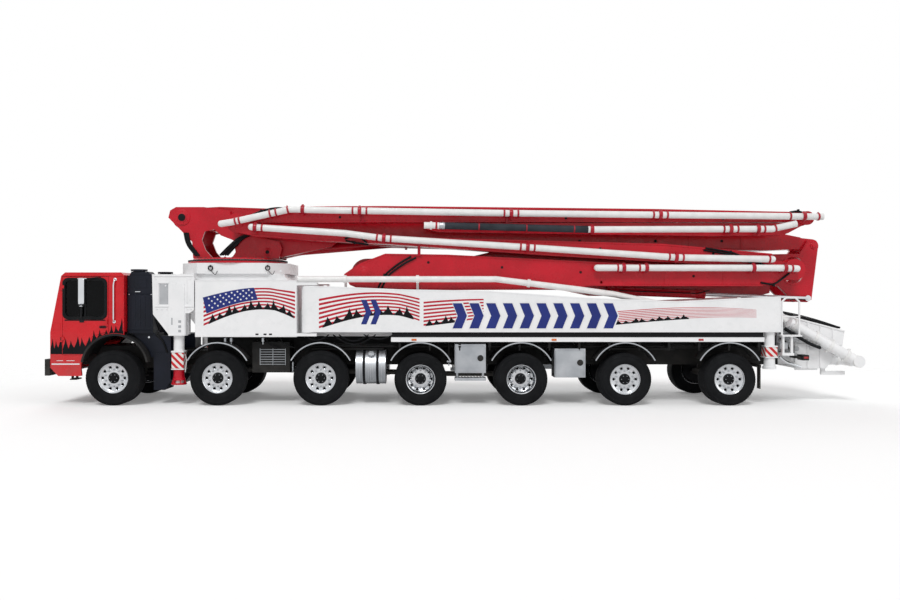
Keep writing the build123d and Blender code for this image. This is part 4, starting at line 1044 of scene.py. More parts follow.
@dataclass
class Wheels:
    """All the wheels, each made once for its kind and placed by its frame node."""

    twins: tuple[int, ...] = (4, 5)
    made: dict[tuple[float, float], bpy.types.Mesh] = field(default_factory=dict)

    def build(self) -> None:
        """Places one wheel at each frame wheel, its outer side outwards."""
        for axle in range(1, 8):
            for side in Side:
                self.place(f"wheel_{axle}_{side.word}", axle, side)

    def place(self, name: str, axle: int, side: Side) -> None:
        """Puts a modelled wheel in place of a frame wheel.

        Args:
            name: The frame wheel's node.
            axle: Its axle.
            side: Its side of the truck.
        """
        low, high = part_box(name)
        size = high - low
        fitment = Fitment.TWIN if axle in self.twins else Fitment.SINGLE
        key = (round(size.z, 3), round(size.y, 3))
        if key not in self.made:
            wheel = Wheel(radius=size.z / 2, width=size.y, fitment=fitment)
            if fitment is Fitment.TWIN:
                wheel.rim_radius = 0.3
            finishes = [Stock.TYRE_RUBBER, Stock.RIM_ALUMINIUM, Stock.HOSE_RUBBER, Stock.BOX_STEEL]
            self.made[key] = wheel.form().mesh(f"disc_wheel_{len(self.made)}", finishes)
        piece = bpy.data.objects.new(f"dressed_{name}", self.made[key])
        bpy.context.scene.collection.objects.link(piece)
        piece.location = (low + high) / 2
        if side is Side.LEFT:
            piece.rotation_euler = (0, 0, math.pi)
        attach(piece, name)
        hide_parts(name)
        LOG.info("%s: %d faces", piece.name, len(piece.data.polygons))


# ---------------------------------------------------------------- shared small forms


def soft_corners(x0: float, x1: float, z0: float, z1: float, radius: float, steps: int = 6) -> list[
    tuple[float, float]
]:
    """Outline of a panel with round corners.

    Args:
        x0: Left edge.
        x1: Right edge.
        z0: Lower edge.
        z1: Upper edge.
        radius: Corner radius.
        steps: Points on each corner.

    Returns:
        The corners in order.
    """
    outline = []
    centres = ((x1, z1, 0), (x0, z1, 90), (x0, z0, 180), (x1, z0, 270))
    for x, z, start in centres:
        cx = x - radius if x == x1 else x + radius
        cz = z - radius if z == z1 else z + radius
        for i in range(steps + 1):
            angle = math.radians(start + 90 * i / steps)
            outline.append((cx + radius * math.cos(angle), cz + radius * math.sin(angle)))
    return outline


def hoop(
    shape: Shape, outer: Line, inner: Line, place: Placer, low: float, high: float, skin: int = 0
) -> None:
    """A flat ring between two outlines on a face.

    Args:
        shape: The shape that it joins.
        outer: Outer outline on the face.
        inner: Inner outline, point for point.
        place: Turns the two face values and a lift into a point.
        low: Lift of its back.
        high: Lift of its front.
        skin: Which finish it takes.
    """
    rings = [
        [place(u, v, lift) for u, v in outline]
        for outline, lift in ((outer, low), (outer, high), (inner, high), (inner, low))
    ]
    shape.loft(rings, skin, looped=True)


def beside(side: Side, face: float) -> Placer:
    """Places side view values on an upright face of one side."""
    return lambda x, z, lift: (x, side.value * (face + lift), z)


def ridge(x0: float, x1: float, low: float, rise: float, teeth: int) -> list[tuple[float, float]]:
    """Upper line of a row of uneven peaks.

    Args:
        x0: Its start.
        x1: Its end.
        low: Height of the valleys.
        rise: Height of the tallest peak over them.
        teeth: How many peaks there are.

    Returns:
        The points of the line.
    """
    line = [(x0, low)]
    step = (x1 - x0) / teeth
    for i in range(teeth):
        tall = rise * (0.45 + 0.55 * abs(math.sin(2.1 * i + 0.7)))
        lean = 0.5 + 0.18 * math.sin(3.7 * i)
        line.append((x0 + (i + lean * 0.7) * step, low + tall * 0.55))
        line.append((x0 + (i + lean) * step, low + tall))
        line.append((x0 + (i + lean + 0.22) * step, low + tall * 0.5))
        line.append((x0 + (i + 1) * step, low + rise * 0.08 * (i % 3)))
    return line


def bolt(
    shape: Shape, point: Point, axis: Point, size: float, skin: int = 0, height: float = 0.6
) -> None:
    """A hexagon head on its washer.

    Args:
        shape: The shape that it joins.
        point: Where it sits.
        axis: The way it faces.
        size: Half its width across the corners.
        skin: Which finish it takes.
        height: Its height as a share of its size.
    """
    along = Vector(axis).normalized()
    shape.turn(((0, size * 1.35), (size * 0.22, size * 1.3)), point, axis, 14, skin)
    start = Vector(point) + along * size * 0.2
    tall = size * height
    shape.turn(((0, size), (tall * 0.85, size), (tall, size * 0.86)), start, axis, 6, skin)


def ears(
    shape: Shape, point: Vector, run: Vector, reach: float, half: Point, head: float, size: float
) -> None:
    """The two bolted ears of a clamp in two halves.

    Args:
        shape: The shape that they join.
        point: Middle of the clamp.
        run: Direction of its pipe.
        reach: Distance of each ear from the middle.
        half: Half size of an ear.
        head: How far out the bolt sits.
        size: The bolt's size.
    """
    up = Vector((-run.z, 0, run.x))
    for sign in (1, -1):
        ear = point + up * sign * reach
        shape.box(ear - Vector(half), ear + Vector(half), edge=0.005)
        bolt(shape, ear + Vector((0, -head, 0)), (0, -1, 0), size)


# ---------------------------------------------------------------- cab


@dataclass
class Cab:
    """Rubber, mirrors, rails, lamps, grille and wipers of the cab."""

    half: float = 1.2
    screen_top: tuple[float, float] = (-7.972, 2.60)
    screen_foot: tuple[float, float] = (-8.19, 1.47)
    door: tuple[float, float] = (-7.945, -7.015)
    arch: tuple[float, float] = (-6.89, 0.761)
    arch_radius: float = 0.69
    skirt: float = 1.03

    def nose_x(self, z: float) -> float:
        """X of the raked front at a height."""
        (x1, z1), (x0, z0) = self.screen_top, self.screen_foot
        return x0 + max(z - z0, 0.0) * (x1 - x0) / (z1 - z0)

    def window(self, side: Side) -> None:
        """Thick black seal with round corners, the slide rail and the sill of the side window.

        Args:
            side: The side of the truck.
        """
        shape = Shape()
        place = beside(side, self.half)
        outer = soft_corners(-7.942, -7.045, 1.725, 2.562, 0.12)
        inner = soft_corners(-7.885, -7.10, 1.785, 2.505, 0.085)
        hoop(shape, outer, inner, place, -0.02, 0.012)
        lip_out = soft_corners(-7.93, -7.057, 1.737, 2.55, 0.112)
        lip_in = soft_corners(-7.905, -7.08, 1.765, 2.525, 0.1)
        hoop(shape, lip_out, lip_in, place, 0.011, 0.018)
        # Corners between the square opening and the round seal
        back_out = soft_corners(-7.893, -7.082, 1.762, 2.528, 0.004)
        hoop(shape, back_out, inner, place, -0.03, -0.018)
        shape.box(place(-7.505, 1.78, -0.024), place(-7.475, 2.51, -0.006))
        shape.box(place(-7.90, 1.70, 0.0), place(-7.08, 1.722, 0.008), edge=0.003)
        name = f"window_seal_{side.word}"
        show(shape, name, Stock.WINDOW_RUBBER, f"door_{side.word}")

    def mirror(self, side: Side) -> None:
        """Tall mirror head with its top strip and base, and the arms that hold it to the door.

        Args:
            side: The side of the truck.
        """
        s = side.value
        head = Shape()
        outline = soft_corners(-7.615, -7.492, 2.03, 2.556, 0.03)
        small = soft_corners(-7.602, -7.505, 2.045, 2.541, 0.026)
        rings = [
            [(x, s * y, z) for x, z in line]
            for line, y in ((small, 1.219), (outline, 1.228), (outline, 1.25), (small, 1.264))
        ]
        head.loft(rings, 0)
        head.box((-7.63, s * 1.226, 2.535), (-7.44, s * 1.25, 2.552), 0, edge=0.004)
        head.turn(((0, 0.04), (0.012, 0.043), (0.02, 0.035)), (-7.553, s * 1.236, 1.985), (0, 0, 1))
        show(head, f"mirror_{side.word}", Stock.MIRROR, f"door_{side.word}")
        arms = Shape()
        arms.pipe(
            [(-7.553, s * 1.236, 2.0), (-7.553, s * 1.236, 1.80), (-7.556, s * 1.208, 1.72)], 0.016,
            0.05
        )
        arms.pipe(
            [(-7.46, s * 1.238, 2.543), (-7.20, s * 1.238, 2.575), (-7.18, s * 1.2, 2.575)], 0.008
        )
        arms.box((-7.60, s * 1.198, 1.665), (-7.51, s * 1.212, 1.735), edge=0.004)
        for x in (-7.585, -7.525):
            bolt(arms, (x, s * 1.211, 1.70), (0, s, 0), 0.008)
        show(
            arms, f"mirror_arm_{side.word}", Stock.BUMPER_PLASTIC, f"door_{side.word}",
        )

    def grab(self, side: Side) -> None:
        """Bright grab rail behind the door with a foot at each end, and the door's lock.

        Args:
            side: The side of the truck.
        """
        s = side.value
        rail = Shape()
        x, y = -6.905, s * 1.246
        rail.pipe(
            [
                (x + 0.02, s * 1.2, 2.53), (x + 0.02, y, 2.51), (x, y, 2.43), (x, y, 1.72),
                (x, s * 1.2, 1.68)
            ],
            0.0155, 0.05
        )
        for px, z in ((x + 0.02, 2.53), (x, 1.68)):
            rail.turn(
                ((0, 0.032), (0.007, 0.032), (0.011, 0.026)), (px, s * 1.199, z), (0, s, 0), 18
            )
            for dz in (-0.022, 0.022):
                bolt(rail, (px, s * 1.207, z + dz), (0, s, 0), 0.005)
        show(rail, f"grab_rail_{side.word}", Stock.MIRROR, "truck")
        lock = Shape()
        outline = soft_corners(-7.20, -7.07, 1.55, 1.60, 0.015)
        inner = soft_corners(-7.19, -7.08, 1.56, 1.59, 0.01)
        hoop(lock, outline, inner, beside(side, self.half), -0.002, 0.008)
        lock.box((-7.185, s * 1.2, 1.565), (-7.085, s * 1.214, 1.585), edge=0.004)
        lock.turn(((0, 0.012), (0.004, 0.011)), (-7.05, s * 1.2, 1.575), (0, s, 0), 16)
        show(
            lock, f"door_lock_{side.word}", Stock.BUMPER_PLASTIC, f"door_{side.word}",
        )

    def ridges(self, side: Side) -> None:
        """Dark peaks along the foot of the door and the skirt, with a pale line below.

        Args:
            side: The side of the truck.
        """
        front, rear = self.door

        def foot(x: float) -> float:
            """Lower edge, which follows the wheel arch."""
            reach = self.arch_radius**2 - (x - self.arch[0]) ** 2
            return max(self.skirt, self.arch[1] + math.sqrt(reach)) if reach > 0 else self.skirt

        for part, x0, x1, teeth, body in (
            ("nose", -8.183, front - 0.004, 3, "truck"),
            ("door", front + 0.008, rear - 0.008, 8, f"door_{side.word}"),
            ("rear", rear + 0.004, -6.72, 3, "truck")
        ):
            line = []
            for x, z in ridge(x0, x1, 0.0, 0.26, teeth):
                rise = 1.14 if x < -7.6 else 1.14 + (x + 7.6) * 0.42
                line.append((x, max(z + rise, foot(x) + 0.004)))
            shape = Shape()
            shape.strip(line, [(x, foot(x)) for x, _ in line], side.value * (self.half + 0.0015))
            show(shape, f"ridge_{part}_{side.word}", Stock.RIDGE_VINYL, body)
        stripe = Shape()
        s = side.value
        stripe.box((-8.16, s * 1.1995, 0.818), (-7.60, s * 1.203, 0.842), 0)
        stripe.box((-8.06, s * 1.1995, 0.893), (-7.93, s * 1.204, 0.903), 0)
        stripe.box((-7.86, s * 1.1995, 0.893), (-7.70, s * 1.204, 0.903), 0)
        show(stripe, f"skirt_line_{side.word}", Stock.WHITE_VINYL, "truck")

    def shell_trim(self) -> None:
        """Rain ledge round the roof and the seams of the panels."""
        ledge = Shape()
        for side in Side:
            s = side.value
            ledge.box((-7.955, s * 1.194, 2.593), (-6.725, s * 1.216, 2.607), edge=0.004)
            ledge.box((-6.735, s * 1.194, 1.50), (-6.722, s * 1.205, 2.60), edge=0.003)
            # Panel of the fuse box low on the nose side
            outline = soft_corners(-8.14, -7.985, 1.50, 1.66, 0.02)
            inner = soft_corners(-8.134, -7.991, 1.506, 1.654, 0.016)
            hoop(ledge, outline, inner, beside(side, self.half), -0.001, 0.004)
        show(ledge, "roof_ledge", Stock.CAB_ENAMEL, "truck")

    def nose(self) -> None:
        """Screen seal, wipers, grille, head lamps and the number plate's blank."""
        seal = Shape()

        def raked(y: float, z: float, lift: float) -> Point:
            """A point on the raked front."""
            return (self.nose_x(z) - lift, y, z)

        outer = soft_corners(-1.1, 1.1, 1.645, 2.575, 0.1)
        inner = soft_corners(-1.04, 1.04, 1.70, 2.52, 0.07)
        hoop(seal, outer, inner, raked, -0.01, 0.012)
        seal.box((self.nose_x(2.1) - 0.008, -0.012, 1.70), (self.nose_x(2.1) + 0.02, 0.012, 2.52))
        show(seal, "screen_seal", Stock.WINDOW_RUBBER, "truck")
        wipers = Shape()
        for y in (-0.62, 0.42):
            wipers.turn(
                ((0, 0.026), (0.02, 0.024), (0.032, 0.016)), raked(y, 1.60, 0.0), (-1, 0, 0.2), 18
            )
            wipers.pipe(
                [raked(y, 1.60, 0.02), raked(y + 0.05, 1.75, 0.035), raked(y + 0.16, 2.05, 0.03)],
                0.007
            )
            wipers.pipe(
                [raked(y - 0.10, 1.80, 0.022), raked(y + 0.40, 2.28, 0.022)], 0.007, sides=6
            )
        grille = Shape()
        x = self.screen_foot[0]
        frame_out = soft_corners(-0.86, 0.86, 1.0, 1.42, 0.06)
        frame_in = soft_corners(-0.82, 0.82, 1.035, 1.385, 0.04)
        hoop(grille, frame_out, frame_in, lambda y, z, lift: (x - lift, y, z), -0.004, 0.03)
        grille.box((x - 0.006, -0.83, 1.03), (x + 0.004, 0.83, 1.39))
        for i in range(6):
            z = 1.07 + i * 0.056
            grille.box((x - 0.026, -0.825, z), (x - 0.004, 0.825, z + 0.022), edge=0.005)
        show(wipers, "wipers", Stock.BUMPER_PLASTIC, "truck")
        show(grille, "nose_grille", Stock.BUMPER_PLASTIC, "truck")
        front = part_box("front_bumper")[0].x
        lamps = Shape()
        bezels = Shape()
        for s in (-1, 1):
            for y in (0.80, 1.02):
                lamps.turn(
                    ((-0.02, 0.075), (0.002, 0.074), (0.008, 0.055), (0.01, 0.02)),
                    (front + 0.006, s * y, 0.78), (-1, 0, 0), 32
                )
                bezels.turn(
                    (
                        (-0.02, 0.094), (0.008, 0.092), (0.014, 0.084), (0.012, 0.076),
                        (-0.02, 0.076)
                    ),
                    (front + 0.006, s * y, 0.78), (-1, 0, 0), 32, capped=False
                )
        bezels.box((front - 0.005, -0.26, 0.70), (front + 0.012, 0.26, 0.82), edge=0.004)
        show(lamps, "head_lamps", Stock.CLEAR_LENS, "truck")
        show(bezels, "lamp_bezels", Stock.MIRROR, "truck")

    def steps(self, side: Side) -> None:
        """Boarding step below the skirt.

        Args:
            side: The side of the truck.
        """
        s = side.value
        step = Shape()
        step.box((-7.79, s * 0.95, 0.515), (-7.65, s * 1.225, 0.537), edge=0.005)
        for x in (-7.77, -7.68):
            step.box((x, s * 1.10, 0.53), (x + 0.02, s * 1.19, 0.61), edge=0.004)
        for i in range(4):
            x = -7.775 + i * 0.034
            step.box((x, s * 0.96, 0.536), (x + 0.01, s * 1.215, 0.542))
        show(step, f"boarding_step_{side.word}", Stock.FRAME_POWDER, "truck")

    def build(self) -> None:
        """Builds everything on the cab."""
        for side in Side:
            self.window(side)
            self.mirror(side)
            self.grab(side)
            self.ridges(side)
            self.steps(side)
        self.shell_trim()
        self.nose()


@dataclass
class Stack:
    """Lids, bands, seams and the bright clips of the air cleaner stack."""

    low_x: float = -6.69
    high_x: float = -6.18
    face: float = 1.045
    cap: tuple[float, float] = (-6.515, 0.87)
    cap_radius: float = 0.15

    def build(self) -> None:
        """Builds the stack's trim on both sides."""
        for side in Side:
            s = side.value
            shape = Shape()
            x0, x1, y = self.low_x, self.high_x, s * self.face
            for z, out in ((2.24, 0.007), (2.215, 0.004), (1.50, 0.006)):
                shape.box(
                    (x0 - 0.004, s * 0.64, z), (x1 + 0.004, y + s * out, z + 0.018), edge=0.004
                )
            for i in range(5):
                x = x0 + 0.06 + i * 0.098
                shape.box((x, s * 1.04, 1.56), (x + 0.008, y + s * 0.003, 2.19), edge=0.002)
            # Rain cap with its louvres
            for c, q in around(12, self.cap_radius):
                cx, cy = self.cap[0] + c, s * self.cap[1] + q
                shape.box(
                    (cx - 0.012, cy - 0.012, 2.70), (cx + 0.012, cy + 0.012, 2.735), edge=0.003
                )
            shape.box((x0 + 0.14, y, 2.36), (x1 - 0.12, y + s * 0.006, 2.56), edge=0.004)
            show(shape, f"stack_trim_{side.word}", Stock.STACK_PLASTIC, "truck")
            clip = Shape()
            clip.box((x0 + 0.15, y, 2.275), (x0 + 0.26, y + s * 0.008, 2.292), edge=0.002)
            for x in (x0 + 0.03, x1 - 0.03):
                clip.turn(((0, 0.012), (0.008, 0.01)), (x, y, 2.23), (0, s, 0), 12)
            clip.turn(((0, 0.024), (0.01, 0.02)), (-6.27, s * 1.0, 1.36), (0, s, 0), 18)
            show(clip, f"stack_clip_{side.word}", Stock.MIRROR, "truck")
            fittings = Shape()
            fittings.pipe(
                [
                    (-6.21, s * 0.98, 2.45), (-6.13, s * 1.0, 2.3), (-6.13, s * 1.0, 1.75),
                    (-6.08, s * 0.9, 1.5)
                ],
                0.035, 0.12
            )
            fittings.pipe(
                [(-6.15, s * 0.98, 1.42), (-5.98, s * 1.02, 1.30), (-5.90, s * 1.0, 1.05)], 0.022
            )
            show(fittings, f"stack_hoses_{side.word}", Stock.HOSE_RUBBER, "truck")


# ---------------------------------------------------------------- legs, pedestal and livery


@dataclass
class FrontLegs:
    """Ribs, ledges, bolts, guard boxes and feet of the front legs."""

    column: tuple[float, float] = (-5.79, -5.48)
    face: float = 1.25
    column_face: float = 1.266

    def plate(self, side: Side) -> None:
        """Ribs, ledge and bolts on the head plate.

        Args:
            side: The side of the truck.
        """
        s = side.value
        shape = Shape()
        near, out = s * (self.face - 0.004), s * (self.face + 0.016)
        left, right = self.column
        shape.box((-6.10, near, 2.585), (-5.31, out, 2.612), edge=0.005)
        shape.box((-6.02, near, 2.452), (left + 0.003, out, 2.474), edge=0.004)
        shape.box((-6.02, near, 2.02), (-5.998, out, 2.456), edge=0.004)
        shape.box((-6.075, near, 1.975), (left + 0.003, out, 2.003), edge=0.005)
        shape.box((right - 0.003, near, 1.975), (-5.305, out, 2.003), edge=0.005)
        shape.box((right + 0.05, near, 2.05), (right + 0.07, out, 2.56), edge=0.004)
        shape.box((left - 0.012, near, 1.43), (left + 0.002, out, 2.45), edge=0.003)
        shape.box(
            (left - 0.012, s * self.face, 1.402), (right + 0.012, s * 1.269, 1.43), edge=0.004
        )
        for x in (-6.04, -5.93, -5.84, -5.42, -5.35):
            shape.turn(((0, 0.021), (0.012, 0.02)), (x, s * self.face, 1.94), (0, s, 0), 14)
            bolt(shape, (x, s * (self.face + 0.006), 1.94), (0, s, 0), 0.012)
        for x, z in ((-6.05, 2.54), (-5.36, 2.54), (-5.86, 2.40), (-5.37, 2.12)):
            bolt(shape, (x, s * self.face, z), (0, s, 0), 0.014)
        for z in (2.36, 2.20, 2.04, 1.74, 1.56):
            for x in (left + 0.03, right - 0.03):
                bolt(shape, (x, s * self.column_face - s * 0.003, z), (0, s, 0), 0.009)
        body = f"front_leg_{side.word}"
        show(
            shape, f"leg_plate_ribs_{side.word}", Stock.BODY_ENAMEL, body, edge_mm=1.5
        )
        # Grey sheet in the recessed panel and small grey marks on the column: painted shade where
        # the recess and its slots fall dark
        dark = Shape()
        dark.box((-5.985, near, 2.03), (-5.806, s * (self.face + 0.002), 2.44), 0)
        for z in (1.66, 1.56, 1.47):
            dark.box((-5.60, s * 1.264, z), (-5.545, s * 1.2685, z + 0.05), 0, edge=0.003)
        dark.box((-5.74, s * 1.264, 1.62), (-5.715, s * 1.2685, 1.76), 0, edge=0.003)
        show(dark, f"leg_recess_{side.word}", Stock.SHADOW_ENAMEL, body)

    def foot(self, side: Side) -> None:
        """Striped guard box round the jack and the red foot below it.

        Args:
            side: The side of the truck.
        """
        s = side.value
        centre = mid(f"front_jack_{side.word}")
        x, y = centre.x, centre.y
        body = f"front_jack_{side.word}"
        guard = Shape()
        guard.box((x - 0.122, y - 0.122, 0.74), (x + 0.122, y + 0.122, 1.06), edge=0.012)
        show(guard, f"front_guard_box_{side.word}", Stock.HAZARD_TAPE, body)
        collar = Shape()
        collar.box((x - 0.128, y - 0.128, 1.06), (x + 0.128, y + 0.128, 1.095), edge=0.006)
        collar.box((x - 0.128, y - 0.128, 0.715), (x + 0.128, y + 0.128, 0.74), edge=0.006)
        collar.pipe(
            [
                (x + 0.13, y + s * 0.02, 1.02), (x + 0.155, y + s * 0.02, 0.9),
                (x + 0.13, y + s * 0.02, 0.66)
            ],
            0.012, 0.05
        )
        show(collar, f"front_guard_collar_{side.word}", Stock.BODY_ENAMEL, body)
        foot = Shape()
        foot.turn(
            ((0, 0.128), (0.03, 0.126), (0.05, 0.108), (0.18, 0.106), (0.2, 0.112), (0.215, 0.11)),
            (x, y, 0.5), (0, 0, 1), 32
        )
        for i in range(6):
            angle = math.tau * i / 6
            c, q = math.cos(angle), math.sin(angle)
            a = (x + 0.1 * c, y + 0.1 * q)
            b = (x + 0.147 * c, y + 0.147 * q)
            w = (-q * 0.007, c * 0.007)
            rings = [
                [
                    (a[0] + k * w[0], a[1] + k * w[1], 0.44),
                    (b[0] + k * w[0], b[1] + k * w[1], 0.44),
                    (a[0] + k * w[0], a[1] + k * w[1], 0.62)
                ]
                for k in (-1, 1)
            ]
            foot.loft(rings)
        foot.turn(
            ((0, 0.149), (0.006, 0.152), (0.03, 0.152), (0.036, 0.148)), (x, y, 0.4105), (0, 0, 1),
            36
        )
        show(foot, f"front_foot_{side.word}", Stock.BOOM_ENAMEL, body)

    def build(self) -> None:
        """Builds both legs."""
        for side in Side:
            self.plate(side)
            self.foot(side)


@dataclass
class Pedestal:
    """Slewing ring's teeth, the red band, flange bolts and shackles."""

    ring_x: float = -4.675
    teeth: int = 84
    bolts: int = 36
    bolt_ring: float = 0.9
    shackle_radius: float = 0.045

    def build(self) -> None:
        """Builds everything on the pedestal."""
        gear = Shape()
        lower, upper = [], []
        for i in range(self.teeth):
            for part, radius in ((0.0, 1.012), (0.2, 1.046), (0.5, 1.046), (0.7, 1.012)):
                angle = math.tau * (i + part) / self.teeth
                x, y = self.ring_x + radius * math.cos(angle), radius * math.sin(angle)
                lower.append((x, y, 2.916))
                upper.append((x, y, 2.947))
        gear.loft([lower, upper])
        show(gear, "slewing_teeth", Stock.AXLE_IRON, "truck")
        band = Shape()
        band.turn(
            ((0, 1.03), (0.004, 1.043), (0.040, 1.043), (0.044, 1.03)), (self.ring_x, 0, 2.871),
            (0, 0, 1), 96
        )
        show(band, "slewing_band", Stock.BOOM_ENAMEL, "truck")
        top = Shape()
        for c, q in around(self.bolts, self.bolt_ring, 0.5):
            bolt(top, (self.ring_x + c, q, 2.985), (0, 0, 1), 0.02)
        show(top, "turret_bolts", Stock.AXLE_IRON, "turret")
        shackles = Shape()
        for side in Side:
            s = side.value
            for x, z in ((-5.02, 2.765), (-3.86, 2.765)):
                points = []
                for i in range(13):
                    angle = math.radians(-150 + 300 * i / 12)
                    points.append(
                        (
                            x + self.shackle_radius * math.sin(angle), s * 1.018,
                            z - self.shackle_radius * math.cos(angle)
                        )
                    )
                shackles.pipe(points, 0.011, 0.01, sides=8)
                shackles.rod((x, s * 0.99, z + 0.04), (x, s * 1.04, z + 0.04), 0.02)
                shackles.pipe(
                    [
                        (x, s * 1.02, z - 0.04), (x + 0.1, s * 1.03, z - 0.15),
                        (x + 0.14, s * 1.02, z - 0.06)
                    ],
                    0.006, 0.04, sides=8
                )
        show(shackles, "flange_shackles", Stock.HOSE_RUBBER, "truck")
        seams = Shape()
        for side in Side:
            s = side.value
            seams.box((-5.272, s * 1.246, 2.498), (-3.238, s * 1.256, 2.514), edge=0.004)
            seams.box((-5.262, s * 1.246, 1.376), (-3.25, s * 1.257, 1.392), edge=0.004)
            seams.box((-5.268, s * 1.246, 1.39), (-5.252, s * 1.256, 2.50), edge=0.004)
            for x in (-5.10, -4.60, -4.10, -3.60):
                bolt(seams, (x, s * 0.99, 2.70), (0, s, 0), 0.018)
        show(seams, "pedestal_seams", Stock.BODY_ENAMEL, "truck")
        pads = Shape()
        for side in Side:
            s = side.value
            for x in (-4.06, -3.90, -3.79):
                pads.box((x, s * 1.248, 1.415), (x + 0.06, s * 1.256, 1.445), edge=0.003)
        show(pads, "pedestal_pads", Stock.HOSE_RUBBER, "truck")


@dataclass
class Livery:
    """Wavy ribbons, a blue field of diamonds, chevrons and dark ridges cut from vinyl."""

    lift: float = 0.0012
    layer: float = 0.0009
    pedestal_face: float = 1.25
    panel_face: float = 1.27
    samples: int = 36

    def ribbons(
        self, shape: Shape, span: tuple[float, float], top: Curve, foot: Curve, count: int,
        y: float, skin: int = 0, taper: float = 0.0
    ) -> None:
        """Parallel wavy stripes between two lines.

        Args:
            shape: The shape that they join.
            span: First and last X.
            top: Height of the upper line for a share of the span.
            foot: Height of the lower line.
            count: How many stripes there are.
            y: Where the sheet lies.
            skin: Which finish they take.
            taper: How much they narrow towards the rear.
        """
        pitch = 1.0 / (count - 0.5)
        for i in range(count):
            upper, lower = [], []
            for k in range(self.samples + 1):
                t = k / self.samples
                x = span[0] + (span[1] - span[0]) * t
                high, low = top(t), foot(t)
                f0 = i * pitch
                f1 = f0 + pitch * 0.5 * (1 - taper * t)
                upper.append((x, high + (low - high) * f0))
                lower.append((x, high + (low - high) * f1))
            shape.strip(upper, lower, y, skin)

    def pedestal_flag(self, side: Side) -> None:
        """Ribbons, field and ridge on the pedestal's side.

        Args:
            side: The side of the truck.
        """
        y = side.value * (self.pedestal_face + self.lift)
        span = (-5.10, -3.27)

        def top(t: float) -> float:
            """Upper line."""
            return 2.16 + 0.20 * math.sin(min(t * 1.25, 1.0) * math.pi * 0.62) - 0.30 * max(
                t - 0.72, 0
            ) ** 1.2

        def foot(t: float) -> float:
            """Lower line."""
            return 1.60 + 0.34 * math.sin(t * math.pi * 0.78) - 0.30 * max(t - 0.78, 0)

        shape = Shape()
        self.ribbons(shape, span, top, foot, 7, y)
        show(shape, f"pedestal_ribbons_{side.word}", Stock.RED_VINYL, "truck")
        field = Shape()
        upper, lower = [], []
        for k in range(21):
            t = 0.56 * k / 20
            x = span[0] + (span[1] - span[0]) * t
            high, low = top(t), foot(t)
            upper.append((x - 0.015, high + 0.006))
            lower.append((x + 0.06, high + (low - high) * 0.56))
        field.strip(upper, lower, y + side.value * self.layer)
        show(field, f"pedestal_field_{side.word}", Stock.BLUE_VINYL, "truck")
        dots = Shape()
        for row in range(4):
            for column in range(8):
                t = 0.05 + 0.50 * (column + 0.5 * (row % 2)) / 8
                high, low = top(t), foot(t)
                f = 0.07 + row * 0.125
                x = span[0] + (span[1] - span[0]) * t + 0.012 + 0.03 * f
                z = high + (low - high) * f
                size = 0.021
                dots.strip(
                    [(x - size, z), (x, z + size), (x + size, z)],
                    [(x - size, z), (x, z - size), (x + size, z)], y + side.value * 2 * self.layer
                )
        show(dots, f"pedestal_diamonds_{side.word}", Stock.WHITE_VINYL, "truck")
        self.peaks(
            "pedestal", side, (-5.0, -3.29), 0.20, foot, span, y + side.value * 2 * self.layer,
            "truck", 11
        )

    def peaks(
        self, name: str, side: Side, reach: tuple[float, float], rise: float, foot: Curve,
        span: tuple[float, float], y: float, body: str, teeth: int
    ) -> None:
        """A dark ridge that stands along a ribbon's lower line.

        Args:
            name: The ridge's name.
            side: The side of the truck.
            reach: First and last X of the ridge.
            rise: Height of its tallest peak.
            foot: The ribbon's lower line.
            span: The ribbon's first and last X.
            y: Where the sheet lies.
            body: The body that carries it.
            teeth: How many peaks there are.
        """
        shape = Shape()
        line = ridge(reach[0], reach[1], 0.0, rise, teeth)

        def base(x: float) -> float:
            """Height of the ribbon's lower line at an X."""
            return foot((x - span[0]) / (span[1] - span[0]))

        upper = [(x, base(x) + z) for x, z in line]
        lower = [(x, base(x) - 0.012) for x, _ in line]
        shape.strip(upper, lower, y)
        show(shape, f"{name}_ridge_{side.word}", Stock.RIDGE_VINYL, body)

    def panel(self, side: Side) -> None:
        """Ribbons, chevrons and ridges on the long side panel.

        Args:
            side: The side of the truck.
        """
        s = side.value
        y = s * (self.panel_face + self.lift)
        body = f"rear_leg_{side.word}"
        first, second, third = (-2.79, -0.78), (-0.70, 0.50), (3.02, 5.95)

        def top_a(t: float) -> float:
            """Upper line of the first ribbons."""
            return 2.14 + 0.13 * math.sin(t * math.pi * 0.9) - 0.16 * max(t - 0.8, 0)

        def foot_a(t: float) -> float:
            """Lower line of the first ribbons."""
            return 1.55 + 0.28 * math.sin(t * math.pi * 0.75) - 0.25 * max(t - 0.8, 0)

        def top_b(t: float) -> float:
            """Upper line of the second ribbons."""
            return 2.08 + 0.11 * t - 0.05 * t * t

        def foot_b(t: float) -> float:
            """Lower line of the second ribbons."""
            return 1.60 + 0.15 * t

        def top_c(t: float) -> float:
            """Upper line of the third ribbons."""
            return 1.88 + 0.13 * math.sin(t * math.pi * 0.72) - 0.06 * t

        def foot_c(t: float) -> float:
            """Lower line of the third ribbons."""
            return 1.62 + 0.15 * math.sin(t * math.pi * 0.6)

        red = Shape()
        self.ribbons(red, first, top_a, foot_a, 7, y)
        self.ribbons(red, second, top_b, foot_b, 7, y)
        show(red, f"panel_ribbons_{side.word}", Stock.RED_VINYL, body)
        pale = Shape()
        self.ribbons(pale, third, top_c, foot_c, 8, y, 0, 0.45)
        show(pale, f"panel_fine_ribbons_{side.word}", Stock.PALE_VINYL, body)
        over = y + s * self.layer
        self.peaks("panel_front", side, (-2.72, -0.90), 0.22, foot_a, first, over, body, 9)
        self.peaks("panel_middle", side, (-0.66, 0.10), 0.15, foot_b, second, over, body, 5)
        self.peaks("panel_rear", side, (3.10, 4.60), 0.09, foot_c, third, over, body, 9)
        white, blue = Shape(), Shape()
